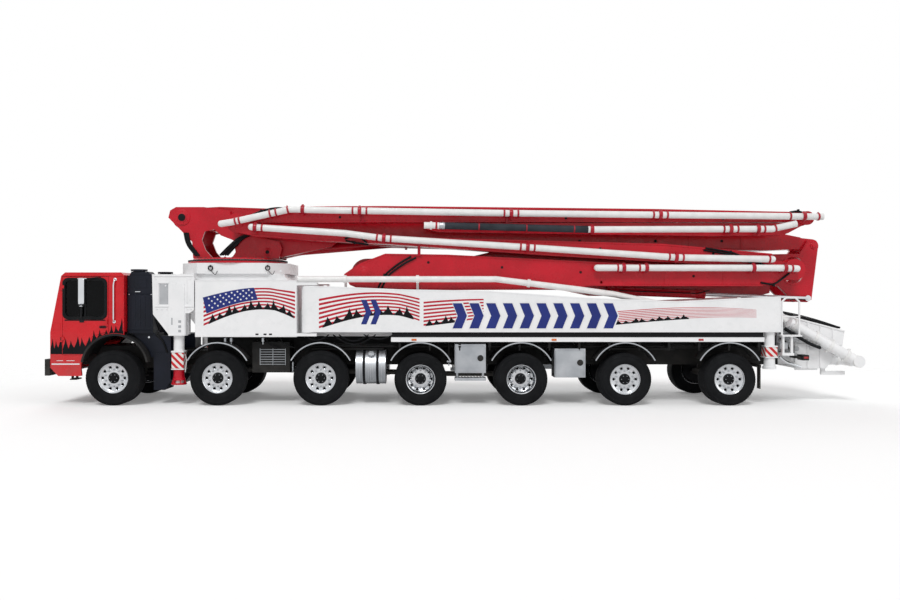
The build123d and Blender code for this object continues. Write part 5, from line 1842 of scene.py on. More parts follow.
        # Slanted bars, each with a pale outline, where the panel is widest
        for i in range(10):
            x = -0.12 + i * 0.335
            self.chevron(white, x - 0.018, 0.222, 1.525, 2.075, y + s * 0.0016)
            self.chevron(blue, x, 0.186, 1.548, 2.052, y + s * 0.0024)
        for i in range(2):
            self.chevron(blue, -1.95 + i * 0.19, 0.11, 1.63, 2.12, y + s * 0.0024)
        show(white, f"panel_chevron_edge_{side.word}", Stock.WHITE_VINYL, body)
        show(blue, f"panel_chevrons_{side.word}", Stock.BLUE_VINYL, body)

    @staticmethod
    def chevron(shape: Shape, x: float, width: float, low: float, high: float, y: float) -> None:
        """One bar bent to the rear at its middle.

        Args:
            shape: The shape that it joins.
            x: Its front edge at the top.
            width: Its width.
            low: Its foot.
            high: Its head.
            y: Where the sheet lies.
        """
        lean = (high - low) * 0.2
        middle = (low + high) / 2
        upper = [(x, high), (x + width, high), (x + width + lean, middle)]
        lower = [(x + lean, middle), (x + width * 0.6 + lean, middle), (x + width + lean, middle)]
        shape.strip(upper, lower, y)
        upper = [(x + lean, middle), (x + width * 0.6 + lean, middle), (x + width + lean, middle)]
        lower = [(x, low), (x + width, low), (x + width + lean, middle)]
        shape.strip(upper, lower, y)

    def build(self) -> None:
        """Cuts and lays the vinyl on both sides."""
        for side in Side:
            self.pedestal_flag(side)
            self.panel(side)


@dataclass
class SidePanels:
    """Folded edges, seams and bolts of the long side panels, and the rear jacks' guards."""

    def build(self) -> None:
        """Builds both panels' edges."""
        for side in Side:
            s = side.value
            body = f"rear_leg_{side.word}"
            shape = Shape()
            top = (
                (-2.98, 2.388), (-2.56, 2.388), (-1.17, 2.328), (0.6, 2.298), (2.43, 2.168),
                (4.37, 2.088), (6.43, 2.187)
            )
            rings = []
            for x, z in top:
                y0, y1 = s * 1.266, s * 1.2745
                rings.append(
                    [(x, y0, z - 0.026), (x, y1, z - 0.024), (x, y1, z - 0.004), (x, y0, z - 0.001)]
                )
            shape.loft(rings)
            shape.box((-2.985, s * 1.266, 1.472), (6.435, s * 1.2745, 1.492), edge=0.003)
            shape.box((6.412, s * 1.266, 1.49), (6.436, s * 1.2745, 2.17), edge=0.003)
            for i in range(9):
                bolt(shape, (6.39, s * 1.269, 1.55 + i * 0.07), (0, s, 0), 0.008)
            show(shape, f"panel_edges_{side.word}", Stock.BODY_ENAMEL, body)
            jack = mid(f"rear_jack_{side.word}")
            x, y = jack.x, jack.y
            guard = Shape()
            guard.box((x - 0.118, y - 0.118, 0.98), (x + 0.118, y + 0.118, 1.17), 0, edge=0.01)
            show(
                guard, f"rear_guard_box_{side.word}", Stock.HAZARD_TAPE, f"rear_jack_{side.word}",
            )
            foot = Shape()
            foot.box((x - 0.125, y - 0.125, 1.17), (x + 0.125, y + 0.125, 1.20), 0, edge=0.006)
            foot.box((x - 0.125, y - 0.125, 0.955), (x + 0.125, y + 0.125, 0.98), 0, edge=0.006)
            foot.turn(
                ((0, 0.131), (0.02, 0.132), (0.05, 0.13), (0.06, 0.11), (0.2, 0.105)),
                (x, y, 0.732), (0, 0, 1), 32
            )
            show(
                foot, f"rear_foot_{side.word}", Stock.BODY_ENAMEL, f"rear_jack_{side.word}",
            )


# ---------------------------------------------------------------- boom


@dataclass(frozen=True)
class PipeRun:
    """The pipe of one section with the X of its broad clamps, thin rings and rounded ends."""

    section: str
    corners: tuple[tuple[float, float], ...]
    clamps: tuple[float, ...]
    rings: tuple[float, ...]
    ends: tuple[tuple[float, int], ...] = ()

    def at(self, x: float) -> tuple[Vector, Vector]:
        """Middle of the pipe and its run at an X.

        Args:
            x: The X wanted.

        Returns:
            The point and the unit run.
        """
        ordered = sorted(self.corners)
        for (x0, z0), (x1, z1) in zip(ordered, ordered[1:]):
            if x <= x1 or x1 == ordered[-1][0]:
                share = (x - x0) / (x1 - x0)
                run = Vector((x1 - x0, 0, z1 - z0)).normalized()
                return Vector((x, BoomPipes.lane, z0 + (z1 - z0) * share)), run
        return Vector((x, BoomPipes.lane, ordered[-1][1])), Vector((1, 0, 0))


@dataclass
class BoomPipes:
    """Red clamps, thin rings, stand-offs and the wrapped hose on the delivery pipes."""

    lane: ClassVar[float] = -1.085
    radius: float = 0.067
    runs: tuple[PipeRun, ...] = (
        PipeRun(
            "c", ((2.806, 2.765), (6.5, 2.762), (6.846, 2.75)), (3.34, 3.8, 5.96, 6.6),
            (3.22, 3.66, 6.74), ((2.806, -1), (6.846, 1))
        ),
        PipeRun(
            "d",
            (
                (6.35, 2.94), (4.4, 2.975), (1.392, 3.18), (-1.517, 3.362), (-2.285, 3.463),
                (-4.18, 3.589)
            ),
            (-4.1, -1.5, 1.4, 4.4), (-3.96, -1.64, -1.36, 1.26, 1.54, 4.26, 4.54, 6.28),
            ((-4.18, -1), (6.35, 1))
        ),
        PipeRun(
            "e",
            (
                (-4.79, 3.655), (-4.56, 3.69), (-3.396, 3.948), (-2.629, 3.928), (1.048, 3.867),
                (7.37, 3.797)
            ),
            (-3.14, -1.99, 1.07, 4.08, 6.98),
            (-4.50, -4.42, -3.80, -3.68, -3.44, -2.13, -1.85, 0.93, 1.21, 3.94, 4.22, 6.70, 7.27),
            ((-4.79, -1),)
        ),
        PipeRun(
            "f", ((-0.689, 3.625), (2.664, 3.54), (6.341, 3.55), (6.83, 3.658)), (2.7, 5.5, 6.05),
            (-0.44, 5.36, 5.64, 6.18, 6.40)
        )
    )

    def clamp(self, shape: Shape, run: PipeRun, x: float) -> None:
        """A broad two-part clamp with its bolted ears.

        Args:
            shape: The shape that it joins.
            run: The pipe it holds.
            x: Its X.
        """
        point, along = run.at(x)
        grip = self.radius + 0.0195
        profile = (
            (-0.037, grip - 0.012), (-0.036, grip), (-0.018, grip + 0.0035), (0.018, grip + 0.0035),
            (0.036, grip), (0.037, grip - 0.012)
        )
        shape.turn(profile, point, along, 32, capped=False)
        ears(shape, point, along, grip + 0.006, (0.022, 0.02, 0.014), 0.018, 0.009)

    def ring(self, shape: Shape, run: PipeRun, x: float) -> None:
        """A thin ring with its weld bead.

        Args:
            shape: The shape that it joins.
            run: The pipe that it sits on.
            x: Its X.
        """
        point, along = run.at(x)
        lift = self.radius
        shape.collar(point, along, (0.019, lift - 0.003), (0.017, lift + 0.012), 28)
        up = Vector((-along.z, 0, along.x))
        shape.box(
            point + up * lift - Vector((0.01, 0.012, 0)),
            point + up * (lift + 0.026) + Vector((0.01, 0.012, 0))
        )

    def build(self) -> None:
        """Builds every section's clamps."""
        for run in self.runs:
            shape = Shape()
            for x in run.clamps:
                self.clamp(shape, run, x)
            for x in run.rings:
                self.ring(shape, run, x)
            name = f"boom_{run.section}"
            caps = Shape()
            for x, facing in run.ends:
                point, along = run.at(x)
                dome = (
                    (-0.004, 0.067), (0.02, 0.064), (0.04, 0.054), (0.055, 0.036), (0.062, 0.014)
                )
                caps.turn(dome, point, along * facing, 28)
            if run.ends:
                show(caps, f"pipe_ends_{run.section}", Stock.PIPE_ENAMEL, name)
            show(
                shape, f"pipe_clamps_{run.section}", Stock.CLAMP_ENAMEL, name,
                edge_mm=1.0
            )
            seats = Shape()
            for x in run.clamps:
                point, _ = run.at(x)
                seats.box(
                    point + Vector((-0.034, 0.06, -0.034)), point + Vector((0.034, 0.142, 0.034)),
                    edge=0.004
                )
                seats.box(
                    point + Vector((-0.055, 0.126, -0.06)), point + Vector((0.055, 0.137, 0.06)),
                    edge=0.004
                )
            show(seats, f"pipe_seats_{run.section}", Stock.BOOM_ENAMEL, name)
        self.hose()

    def hose(self) -> None:
        """Wrapped hose along the last section with its steel collar and straps."""
        run = self.runs[3]
        wrap = Shape()
        rings = []
        steps = 150
        for i in range(steps + 1):
            x = -0.27 + (2.62 + 0.27) * i / steps
            point, along = run.at(x)
            up = Vector((-along.z, 0, along.x))
            side = Vector((0, 1, 0))
            girth = self.radius + 0.0035 + (0.0035 if i % 2 else 0.0)
            rings.append(
                [
                    point + up * girth * math.cos(math.tau * k / 24) + side * girth * math.sin(
                        math.tau * k / 24
                    )
                    for k in range(24)
                ]
            )
        wrap.loft(rings)
        show(wrap, "wrapped_hose", Stock.WRAP_RUBBER, "boom_f", sharp=60)
        steel = Shape()
        point, along = run.at(-0.325)
        steel.turn(
            (
                (-0.055, 0.068), (-0.05, 0.075), (-0.01, 0.075), (0.0, 0.079), (0.04, 0.079),
                (0.056, 0.07)
            ),
            point, along, 32
        )
        show(steel, "hose_collar", Stock.BOX_STEEL, "boom_f")
        straps = Shape()
        for x in (0.42, 1.38, 2.34):
            centre, run_on = run.at(x)
            straps.collar(centre, run_on, (0.012, 0.069), (0.012, 0.078), 28)
            straps.box(
                centre + Vector((-0.012, 0.05, -0.02)), centre + Vector((0.012, 0.17, 0.02)),
                edge=0.003
            )
        show(straps, "hose_straps", Stock.CLAMP_ENAMEL, "boom_f")


@dataclass
class BoomPlates:
    """Weld beads, stiffeners, pins, cover plates and bolts of the boom's box sections."""

    near: float = -0.95
    far: float = -0.62
    root_pin: tuple[float, float] = (-5.75, 3.84)
    luff_pin: tuple[float, float] = (-3.96, 3.115)

    def bead(self, shape: Shape, line: Line, y: float, inset: float = 0.0) -> None:
        """A weld bead along an edge of a section."""
        shape.pipe([(x, y, z - inset) for x, z in line], 0.0065, 0.02, sides=6)

    def sheet(
        self, shape: Shape, outline: Line, y: float, out: float, bolts: Line = (),
        size: float = 0.011
    ) -> None:
        """A doubling plate with bolts on an upright face.

        Args:
            shape: The shape that it joins.
            outline: X and Z of its corners.
            y: The face.
            out: How far it stands off, its sign the way it faces.
            bolts: Where bolts stand.
            size: Their size.
        """
        shape.prism(outline, y - out * 0.4, y + out)
        for x, z in bolts:
            bolt(shape, (x, y + out, z), (0, math.copysign(1, out), 0), size)

    def pin(self, shape: Shape, x: float, z: float, y: float, facing: float, radius: float) -> None:
        """End of a hinge pin with its keeper plate.

        Args:
            shape: The shape that it joins.
            x: Its X.
            z: Its Z.
            y: The face it comes out of.
            facing: The way it faces, as a sign.
            radius: Radius of the boss round it.
        """
        axis = (0, facing, 0)
        shape.turn(
            ((0, radius), (0.012, radius * 0.98), (0.016, radius * 0.9)), (x, y, z), axis, 40
        )
        face = y + facing * 0.016
        shape.turn(
            ((0, radius * 0.56), (0.012, radius * 0.56), (0.016, radius * 0.48)), (x, face, z),
            axis, 32
        )
        low = (x - radius * 0.2, face, z - radius * 0.86)
        shape.box(low, (x + radius * 0.2, face + facing * 0.012, z - radius * 0.44), edge=0.003)
        for c, q in around(6, radius * 0.74, 0.5):
            bolt(shape, (x + c, face - facing * 0.002, z + q), axis, radius * 0.075)

    def section_a(self) -> None:
        """Root cheeks, beads and stiffeners of the first section, on both sides."""
        shape = Shape()
        top = ((-5.70, 4.035), (-5.0, 4.076), (-3.0, 4.006), (2.0, 3.757), (6.7, 3.557))
        foot = ((-5.70, 3.625), (-3.3, 3.424), (-1.55, 3.254), (1.1, 3.189), (6.5, 3.164))
        for side in Side:
            s = side.value
            y = s * 0.331
            self.bead(shape, top, y, 0.03)
            self.bead(shape, foot, y, -0.03)
            self.pin(shape, *self.root_pin, s * 0.39, s, 0.15)
            self.sheet(
                shape,
                [
                    (-5.60, 3.66), (-5.35, 4.02), (-4.6, 4.03), (-3.9, 3.94), (-3.6, 3.5),
                    (-4.4, 3.54)
                ],
                s * 0.33, s * 0.012,
                [(-5.4, 3.9), (-4.7, 3.96), (-4.0, 3.88), (-3.85, 3.56), (-4.6, 3.6)], 0.013
            )
            for x in (-2.4, -1.1, 0.4, 1.9, 3.4, 4.9, 6.0):
                z0 = 3.21 if x > -1.5 else 3.35
                self.sheet(
                    shape, [(x, z0), (x, z0 + 0.30), (x + 0.05, z0 + 0.30), (x + 0.05, z0)], y,
                    s * 0.008
                )
        show(shape, "boom_a_plates", Stock.BOOM_ENAMEL, "boom_a")
        holes = Shape()
        for side in Side:
            y = side.value * 0.332
            for x in (-1.7, -0.3, 1.1, 2.6, 4.2, 5.6):
                holes.turn(
                    ((-0.004, 0.03), (0.003, 0.03), (0.002, 0.02)), (x, y, 3.36),
                    (0, side.value, 0), 20
                )
        show(holes, "boom_a_plugs", Stock.HOSE_RUBBER, "boom_a")

    def section_b(self) -> None:
        """Beads, plates and pins of the second section, and its fold barrel's seams."""
        shape = Shape()
        top = ((-1.4, 2.99), (0.15, 2.99), (0.7, 3.12), (6.4, 3.1))
        for side in Side:
            s = side.value
            self.bead(shape, top, s * 0.2615, 0.03)
            self.bead(shape, ((2.35, 2.34), (2.9, 2.215), (6.38, 2.215)), s * 0.2615, -0.02)
            face = s * 0.32
            self.pin(shape, 7.54, 3.26, face, s, 0.07)
            self.pin(shape, 7.39, 2.15, face, s, 0.055)
            rim = soft_corners(6.885, 7.345, 2.43, 3.06, 0.22, 8)
            hole = soft_corners(6.915, 7.315, 2.46, 3.03, 0.2, 8)
            hoop(shape, rim, hole, lambda x, z, lift, s=s: (x, s * (0.32 + lift), z), -0.002, 0.012)
            self.bead(shape, ((6.64, 3.07), (7.24, 3.08), (7.42, 3.355), (7.59, 3.36)), face, 0.014)
            self.bead(
                shape, ((7.49, 2.13), (7.395, 2.078), (7.13, 2.087), (6.81, 2.41)), face, -0.012
            )
        x0, z0, x1, z1 = 3.18, 2.31, 5.2, 2.233
        for share in (0.02, 0.08, 0.93, 0.985):
            point = (x0 + (x1 - x0) * share, -0.372, z0 + (z1 - z0) * share)
            shape.turn(
                ((0, 0.0905), (0.006, 0.0965), (0.045, 0.0965), (0.05, 0.0905)), point,
                (1, 0, -0.038), 40, capped=False
            )
        shape.box((4.9, -0.47, 2.2), (5.0, -0.452, 2.29), edge=0.004)
        show(shape, "boom_b_plates", Stock.BOOM_ENAMEL, "boom_b")
        hoses = Shape()
        hoses.pipe(
            [(3.4, -0.475, 2.31), (4.2, -0.475, 2.28), (5.05, -0.475, 2.25), (5.3, -0.44, 2.32)],
            0.011, 0.06
        )
        for y in (-0.345, -0.375):
            hoses.pipe(
                [(5.45, -0.28, 2.86), (5.9, y, 2.78), (6.35, y, 2.58), (6.62, y, 2.47)], 0.02, 0.15
            )
        show(hoses, "boom_b_hoses", Stock.HOSE_RUBBER, "boom_b")

    def lane_sections(self) -> None:
        """Beads, stiffeners, pins and plugs of the sections in the outer lane."""
        y = self.near
        beads = {
            "c": (
                (
                    (-2.28, 2.64), (-2.0, 2.85), (-1.48, 3.05), (-0.2, 3.03), (2.0, 2.92),
                    (6.15, 2.72), (6.55, 2.68)
                ),
                ((-1.88, 2.31), (2.3, 2.35), (2.7, 2.41), (6.2, 2.41), (6.68, 2.55))
            ),
            "d": (
                ((-4.0, 3.63), (-0.9, 3.39), (0.0, 3.36), (4.2, 3.25), (6.4, 3.05)),
                ((-4.19, 3.43), (-3.0, 3.34), (-1.55, 3.27), (2.0, 3.02), (6.1, 2.79))
            ),
            "e": (
                ((-4.04, 3.87), (-3.5, 4.01), (-1.5, 4.02), (4.0, 3.96), (6.7, 3.902)),
                ((-4.0, 3.70), (-1.0, 3.71), (6.84, 3.71))
            )
        }
        for name, lines in beads.items():
            shape = Shape()
            for at in (y - 0.001, self.far + 0.001):
                self.bead(shape, lines[0], at, 0.022)
                self.bead(shape, lines[1], at, -0.022)
            if name == "c":
                self.pin(shape, -1.9, 2.66, y, -1, 0.135)
                self.pin(shape, 6.866, 2.736, y, -1, 0.1)
                for x in (-0.9, 0.3, 1.5, 2.9, 4.2, 5.4):
                    self.sheet(
                        shape, [(x, 2.45), (x, 2.66), (x + 0.04, 2.66), (x + 0.04, 2.45)], y, -0.008
                    )
                self.sheet(
                    shape,
                    [
                        (-2.15, 2.42), (-2.28, 2.64), (-1.98, 2.84), (-1.5, 2.9), (-1.2, 2.6),
                        (-1.4, 2.36)
                    ],
                    y, -0.01, [(-2.14, 2.64), (-1.96, 2.8), (-1.32, 2.6), (-1.5, 2.42)]
                )
                self.sheet(
                    shape,
                    [(2.35, 2.36), (2.7, 2.42), (3.4, 2.42), (3.36, 2.5), (2.72, 2.5), (2.3, 2.43)],
                    y, -0.008
                )
            if name == "d":
                self.pin(shape, -4.507, 3.685, y, -1, 0.12)
                for x in (-3.2, -2.2, -0.6, 0.7, 2.3, 3.5, 5.1):
                    z = 3.345 - (x + 3.2) * 0.062
                    self.sheet(
                        shape, [(x, z), (x, z + 0.17), (x + 0.04, z + 0.17), (x + 0.04, z)], y,
                        -0.008
                    )
            if name == "e":
                self.pin(shape, 7.12, 3.786, y, -1, 0.09)
                self.sheet(
                    shape, [(-3.96, 3.72), (-3.96, 3.86), (-3.2, 3.97), (-2.9, 3.72)], y, -0.008
                )
            show(shape, f"boom_{name}_plates", Stock.BOOM_ENAMEL, f"boom_{name}")
        plugs = {
            "c": ((0.9, 2.78), (2.5, 2.68), (-0.6, 2.88), (4.8, 2.6)),
            "d": ((5.2, 3.06), (2.9, 3.16), (0.2, 3.30), (-2.7, 3.47)),
            "e": ((-2.4, 3.80), (2.2, 3.78), (5.4, 3.77))
        }
        for name, spots in plugs.items():
            shape = Shape()
            for x, z in spots:
                shape.turn(
                    ((-0.004, 0.026), (0.003, 0.026), (0.002, 0.016)), (x, y - 0.001, z),
                    (0, -1, 0), 18
                )
            show(shape, f"boom_{name}_plugs", Stock.HOSE_RUBBER, f"boom_{name}")

    def stand_offs(self) -> None:
        """Red posts that hold folded sections apart, with their pads."""
        for x, z0, z1, body in (
            (-1.94, 3.70, 3.88, "boom_e"), (-0.79, 3.02, 3.30, "boom_d"),
            (1.0, 3.56, 3.80, "boom_e")
        ):
            post = Shape()
            post.box((x - 0.03, -0.985, z0), (x + 0.03, -0.949, z1), edge=0.006)
            post.box((x - 0.06, -0.99, z0 - 0.012), (x + 0.06, -0.947, z0 + 0.012), edge=0.005)
            bolt(post, (x, -0.985, (z0 + z1) / 2), (0, -1, 0), 0.012)
            show(post, f"stand_off_{abs(round(x * 100))}", Stock.CLAMP_ENAMEL, body)

    def hoses(self) -> None:
        """Bundles of hydraulic hose where the sections hinge."""
        bundles = {
            "boom_c": (
                ((-1.62, 2.36), (-1.5, 2.62), (-1.2, 2.86), (-0.95, 3.0)),
                ((-1.55, 2.35), (-1.44, 2.6), (-1.12, 2.84), (-0.85, 2.98)),
                ((6.16, 2.47), (6.42, 2.42), (6.6, 2.55), (6.74, 2.66))
            ),
            "boom_d": (
                ((5.0, 3.13), (5.5, 3.05), (6.0, 2.86), (6.36, 2.72)),
                ((5.04, 3.17), (5.55, 3.09), (6.05, 2.90), (6.40, 2.76)),
                ((-2.3, 3.36), (-2.15, 3.42), (-2.0, 3.4), (-1.85, 3.28)),
                ((-2.28, 3.32), (-2.1, 3.28), (-1.95, 3.26), (-1.82, 3.24))
            ),
            "boom_e": (
                ((-4.28, 3.80), (-4.0, 3.93), (-3.72, 3.99), (-3.5, 3.98)),
                ((-4.26, 3.77), (-3.98, 3.9), (-3.7, 3.95), (-3.5, 3.94)),
                ((6.75, 3.90), (6.92, 3.93), (7.08, 3.86), (7.16, 3.76))
            )
        }
        for body, routes in bundles.items():
            shape = Shape()
            for i, route in enumerate(routes):
                shape.pipe(
                    [(x, self.near - 0.022 - 0.002 * (i % 2), z) for x, z in route], 0.02, 0.12,
                    sides=12
                )
                x, z = route[1]
                shape.box(
                    (x - 0.02, self.near - 0.046, z - 0.03), (x + 0.02, self.near, z + 0.03),
                    edge=0.004
                )
            show(shape, f"hose_bundle_{body}", Stock.HOSE_RUBBER, body)

    def turret(self) -> None:
        """Pins, pin caps, hoses and a blank plate on the turret and the boom's root."""
        shape = Shape()
        for side in Side:
            s = side.value
            self.pin(shape, *self.root_pin, s * 0.48, s, 0.17)
            self.pin(shape, *self.luff_pin, s * 0.48, s, 0.09)
        show(shape, "turret_pins", Stock.BOOM_ENAMEL, "turret")
        dark = Shape()
        for side in Side:
            s = side.value
            for (x, z), radius in ((self.root_pin, 0.078), (self.luff_pin, 0.04)):
                dark.turn(
                    ((0, radius), (0.006, radius), (0.009, radius * 0.8)), (x, s * 0.51, z),
                    (0, s, 0), 32
                )
        show(dark, "turret_pin_caps", Stock.HOSE_RUBBER, "turret")
        plate = Shape()
        plate.box((-5.19, -0.352, 3.85), (-5.04, -0.34, 3.985), edge=0.004)
        show(plate, "blank_plate", Stock.WHITE_VINYL, "boom_a")
        hoses = Shape()
        for i in range(4):
            y = -0.49 - 0.012 * (i % 2)
            hoses.pipe(
                [
                    (-4.95 + i * 0.05, y, 3.05), (-4.75 + i * 0.045, y - 0.02, 3.25),
                    (-4.55 + i * 0.03, y - 0.02, 3.42), (-4.2 + i * 0.03, y + 0.02, 3.55)
                ],
                0.024, 0.15, sides=12
            )
        for i in range(3):
            hoses.pipe(
                [
                    (-5.70 + i * 0.035, -0.49, 3.52), (-5.65 + i * 0.035, -0.5, 3.28),
                    (-5.46 + i * 0.035, -0.49, 3.04)
                ],
                0.022, 0.12, sides=12
            )
        show(hoses, "root_hoses", Stock.HOSE_RUBBER, "turret")

    def build(self) -> None:
        """Builds the plates of every section."""
        self.section_a()
        self.section_b()
        self.lane_sections()
        self.stand_offs()
        self.hoses()
        self.turret()


# ---------------------------------------------------------------- chassis


@dataclass
class Guards:
    """Bright beads round the mudguards' rims and the stays' bolts."""

    lift: float = 0.588
    radius: float = 0.682
    face: float = 1.25
    reach: float = 62.0
    steps: int = 40

    def build(self) -> None:
        """Runs a bead round every guard from the second axle back."""
        shape = Shape()
        dark = Shape()
        for axle in range(2, 8):
            for side in Side:
                s = side.value
                centre = mid(f"wheel_{axle}_{side.word}")
                rings = []
                for k in range(self.steps + 1):
                    angle = math.radians(-self.reach + 2 * self.reach * k / self.steps)
                    sx, cz = math.sin(angle), math.cos(angle)
                    ring = []
                    for r, y in (
                        (self.radius - 0.022, self.face - 0.012),
                        (self.radius - 0.022, self.face + 0.004),
                        (self.radius - 0.011, self.face + 0.007),
                        (self.radius + 0.001, self.face + 0.004),
                        (self.radius + 0.003, self.face - 0.012)
                    ):
                        ring.append((centre.x + r * sx, s * y, self.lift + r * cz))
                    rings.append(ring)
                shape.loft(rings)
                for degrees in (-48, -16, 16, 48):
                    angle = math.radians(degrees)
                    point = (
                        centre.x + (self.radius - 0.045) * math.sin(angle), s * (self.face - 0.02),
                        self.lift + (self.radius - 0.045) * math.cos(angle)
                    )
                    bolt(dark, point, (0, s, 0), 0.008)
        show(shape, "guard_beads", Stock.BOX_STEEL, "truck")
        show(dark, "guard_bolts", Stock.GUARD_PLASTIC, "truck")


@dataclass
class Flank:
    """Tank, boxes, rail markers, hoses and brackets under the long panels."""

    tank: tuple[float, float] = (-2.05, -1.47)
    tank_middle: tuple[float, float] = (0.92, 0.76)
    tank_radius: float = 0.345
    rail: tuple[float, float] = (-1.35, 6.12)
    brackets: int = 13
    bracket_pitch: float = 0.6

    def fuel(self, side: Side) -> None:
        """Straps, ribs, filler neck and pipes of the fuel tank.

        Args:
            side: The side of the truck.
        """
        s = side.value
        x0, x1 = self.tank
        y, z, radius = s * self.tank_middle[0], self.tank_middle[1], self.tank_radius
        ribs = Shape()
        for share in (0.0, 0.12, 0.42, 0.5, 0.58, 0.88, 1.0):
            x = x0 + (x1 - x0) * share
            ribs.collar((x, y, z), (1, 0, 0), (0.012, radius - 0.004), (0.007, radius + 0.004), 56)
        for x, facing in ((x0, -1), (x1, 1)):
            ribs.turn(
                ((0, radius * 0.96), (0.01, radius * 0.8), (0.014, radius * 0.3)), (x, y, z),
                (facing, 0, 0), 48
            )
        neck = (x0 + 0.3, y + s * 0.235, z + 0.24)
        axis = Vector((0, s * 0.7, 0.72)).normalized()
        ribs.turn(((0, 0.05), (0.045, 0.048), (0.05, 0.044)), neck, axis, 28)
        show(ribs, f"tank_ribs_{side.word}", Stock.TANK_ALUMINIUM, "truck")
        straps = Shape()
        for x in (x0 + 0.155, x1 - 0.155):
            straps.collar((x, y, z), (1, 0, 0), (0.026, radius), (0.026, radius + 0.006), 56)
            straps.box((x - 0.03, s * 0.6, 0.55), (x + 0.03, s * 0.66, 1.1), edge=0.005)
            straps.box((x - 0.035, s * 0.60, 0.40), (x + 0.035, s * 0.95, 0.422), edge=0.005)
            bolt(straps, (x, y, z + radius + 0.005), (0, 0, 1), 0.012)
        straps.pipe(
            [(x0 + 0.1, y, z + 0.34), (x0 + 0.1, y, z + 0.43), (x0 - 0.1, y - s * 0.1, z + 0.47)],
            0.009, 0.05, sides=8
        )
        show(straps, f"tank_straps_{side.word}", Stock.HOSE_RUBBER, "truck")
        cap = Shape()
        start = Vector(neck) + axis * 0.046
        cap.turn(
            ((0, 0.058), (0.004, 0.062), (0.022, 0.062), (0.028, 0.055), (0.03, 0.02)), start, axis,
            28
        )
        cap.box(
            start + axis * 0.026 - Vector((0.04, 0.008, 0.008)),
            start + axis * 0.026 + Vector((0.04, 0.008, 0.008)), edge=0.004
        )
        show(cap, f"tank_cap_{side.word}", Stock.BOX_STEEL, "truck")

    def doors(self) -> None:
        """Seals and latches of the two tool boxes, and the tread of their step."""
        for word, x0, x1, z0, z1 in (
            ("front", -0.07, 0.55, 0.65, 1.23), ("rear", 1.93, 2.55, 0.56, 1.14)
        ):
            body = f"tool_door_{word}"
            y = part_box(body)[0].y
            side = Side.LEFT if y < 0 else Side.RIGHT
            facing, place = side.value, beside(side, abs(y))
            trim = Shape()
            outer = soft_corners(x0 + 0.02, x1 - 0.02, z0 + 0.02, z1 - 0.02, 0.03)
            inner = soft_corners(x0 + 0.032, x1 - 0.032, z0 + 0.032, z1 - 0.032, 0.022)
            hoop(trim, outer, inner, place, -0.002, 0.004)
            show(trim, f"box_fold_{word}", Stock.BOX_STEEL, body)
            latch = Shape()
            lx, lz = x1 - 0.11, (z0 + z1) / 2 + 0.01
            point = (lx, y - facing * 0.002, lz)
            latch.turn(((0, 0.062), (0.006, 0.06), (0.008, 0.05)), point, (0, facing, 0), 36)
            latch.turn(((0.006, 0.024), (0.016, 0.022), (0.018, 0.012)), point, (0, facing, 0), 24)
            latch.box(
                place(lx - 0.04, lz - 0.011, 0.006), place(lx + 0.012, lz + 0.011, 0.014),
                edge=0.003
            )
            show(latch, f"box_latch_{word}", Stock.BUMPER_PLASTIC, body)
        tread = Shape()
        for side in Side:
            s = side.value
            for i in range(10):
                x = -0.055 + i * 0.062
                tread.box((x, s * 0.98, 0.556), (x + 0.02, s * 1.20, 0.566), edge=0.003)
            tread.box((-0.075, s * 1.195, 0.50), (0.555, s * 1.21, 0.562), edge=0.004)
        show(tread, "box_step_tread", Stock.FRAME_POWDER, "truck")

    def under(self, side: Side) -> None:
        """Brackets, tie pipes, hose loops, valves and louvres below the panels.

        Args:
            side: The side of the truck.
        """
        s = side.value
        black = Shape()
        for i in range(self.brackets):
            x = -1.2 + i * self.bracket_pitch
            black.box((x, s * 0.72, 1.16), (x + 0.05, s * 1.22, 1.27), edge=0.006)
            black.box((x + 0.01, s * 1.19, 1.10), (x + 0.04, s * 1.215, 1.27), edge=0.004)
        for z, y in ((1.215, 0.98), (1.18, 1.04), (1.145, 0.9)):
            black.rod((-3.1, s * y, z), (6.2, s * y, z), 0.018)
        for x0, x1 in ((-2.95, -1.5), (3.1, 4.4)):
            black.box((x0, s * 0.8, 1.10), (x1, s * 1.02, 1.15), edge=0.006)
        show(black, f"under_brackets_{side.word}", Stock.FRAME_POWDER, "truck")
        hose = Shape()
        for i, (x0, x1, drop) in enumerate(
            ((-2.52, -1.66, 0.20), (-2.40, -1.80, 0.13), (-1.9, -1.30, 0.09), (-3.1, -2.6, 0.12))
        ):
            y = s * (1.19 + 0.012 * (i % 2))
            points = []
            for k in range(9):
                t = k / 8
                points.append((x0 + (x1 - x0) * t, y, 1.42 - drop * math.sin(math.pi * t)))
            hose.pipe(points, 0.0125, 0.05, sides=10)
        for x in (-3.9, -3.6, 5.6):
            hose.pipe(
                [(x, s * 1.0, 1.36), (x + 0.05, s * 1.02, 1.22), (x + 0.3, s * 1.0, 1.14)], 0.014,
                0.06, sides=10
            )
        show(hose, f"under_hoses_{side.word}", Stock.HOSE_RUBBER, "truck")
        steel = Shape()
        steel.box((-0.235, s * 1.06, 0.855), (-0.14, s * 1.15, 0.90), edge=0.008)
        steel.rod((-0.19, s * 1.1, 0.84), (-0.19, s * 1.1, 0.79), 0.014)
        for x in (-0.215, -0.165):
            steel.turn(
                ((0, 0.014), (0.02, 0.014), (0.022, 0.01)), (x, s * 1.15, 0.878), (0, s, 0), 12
            )
        for x in (-4.72, -4.60, -3.96):
            steel.box((x, s * 1.06, 1.27), (x + 0.045, s * 1.14, 1.35), edge=0.006)
            steel.rod((x + 0.02, s * 1.1, 1.36), (x + 0.02, s * 1.1, 1.22), 0.012)
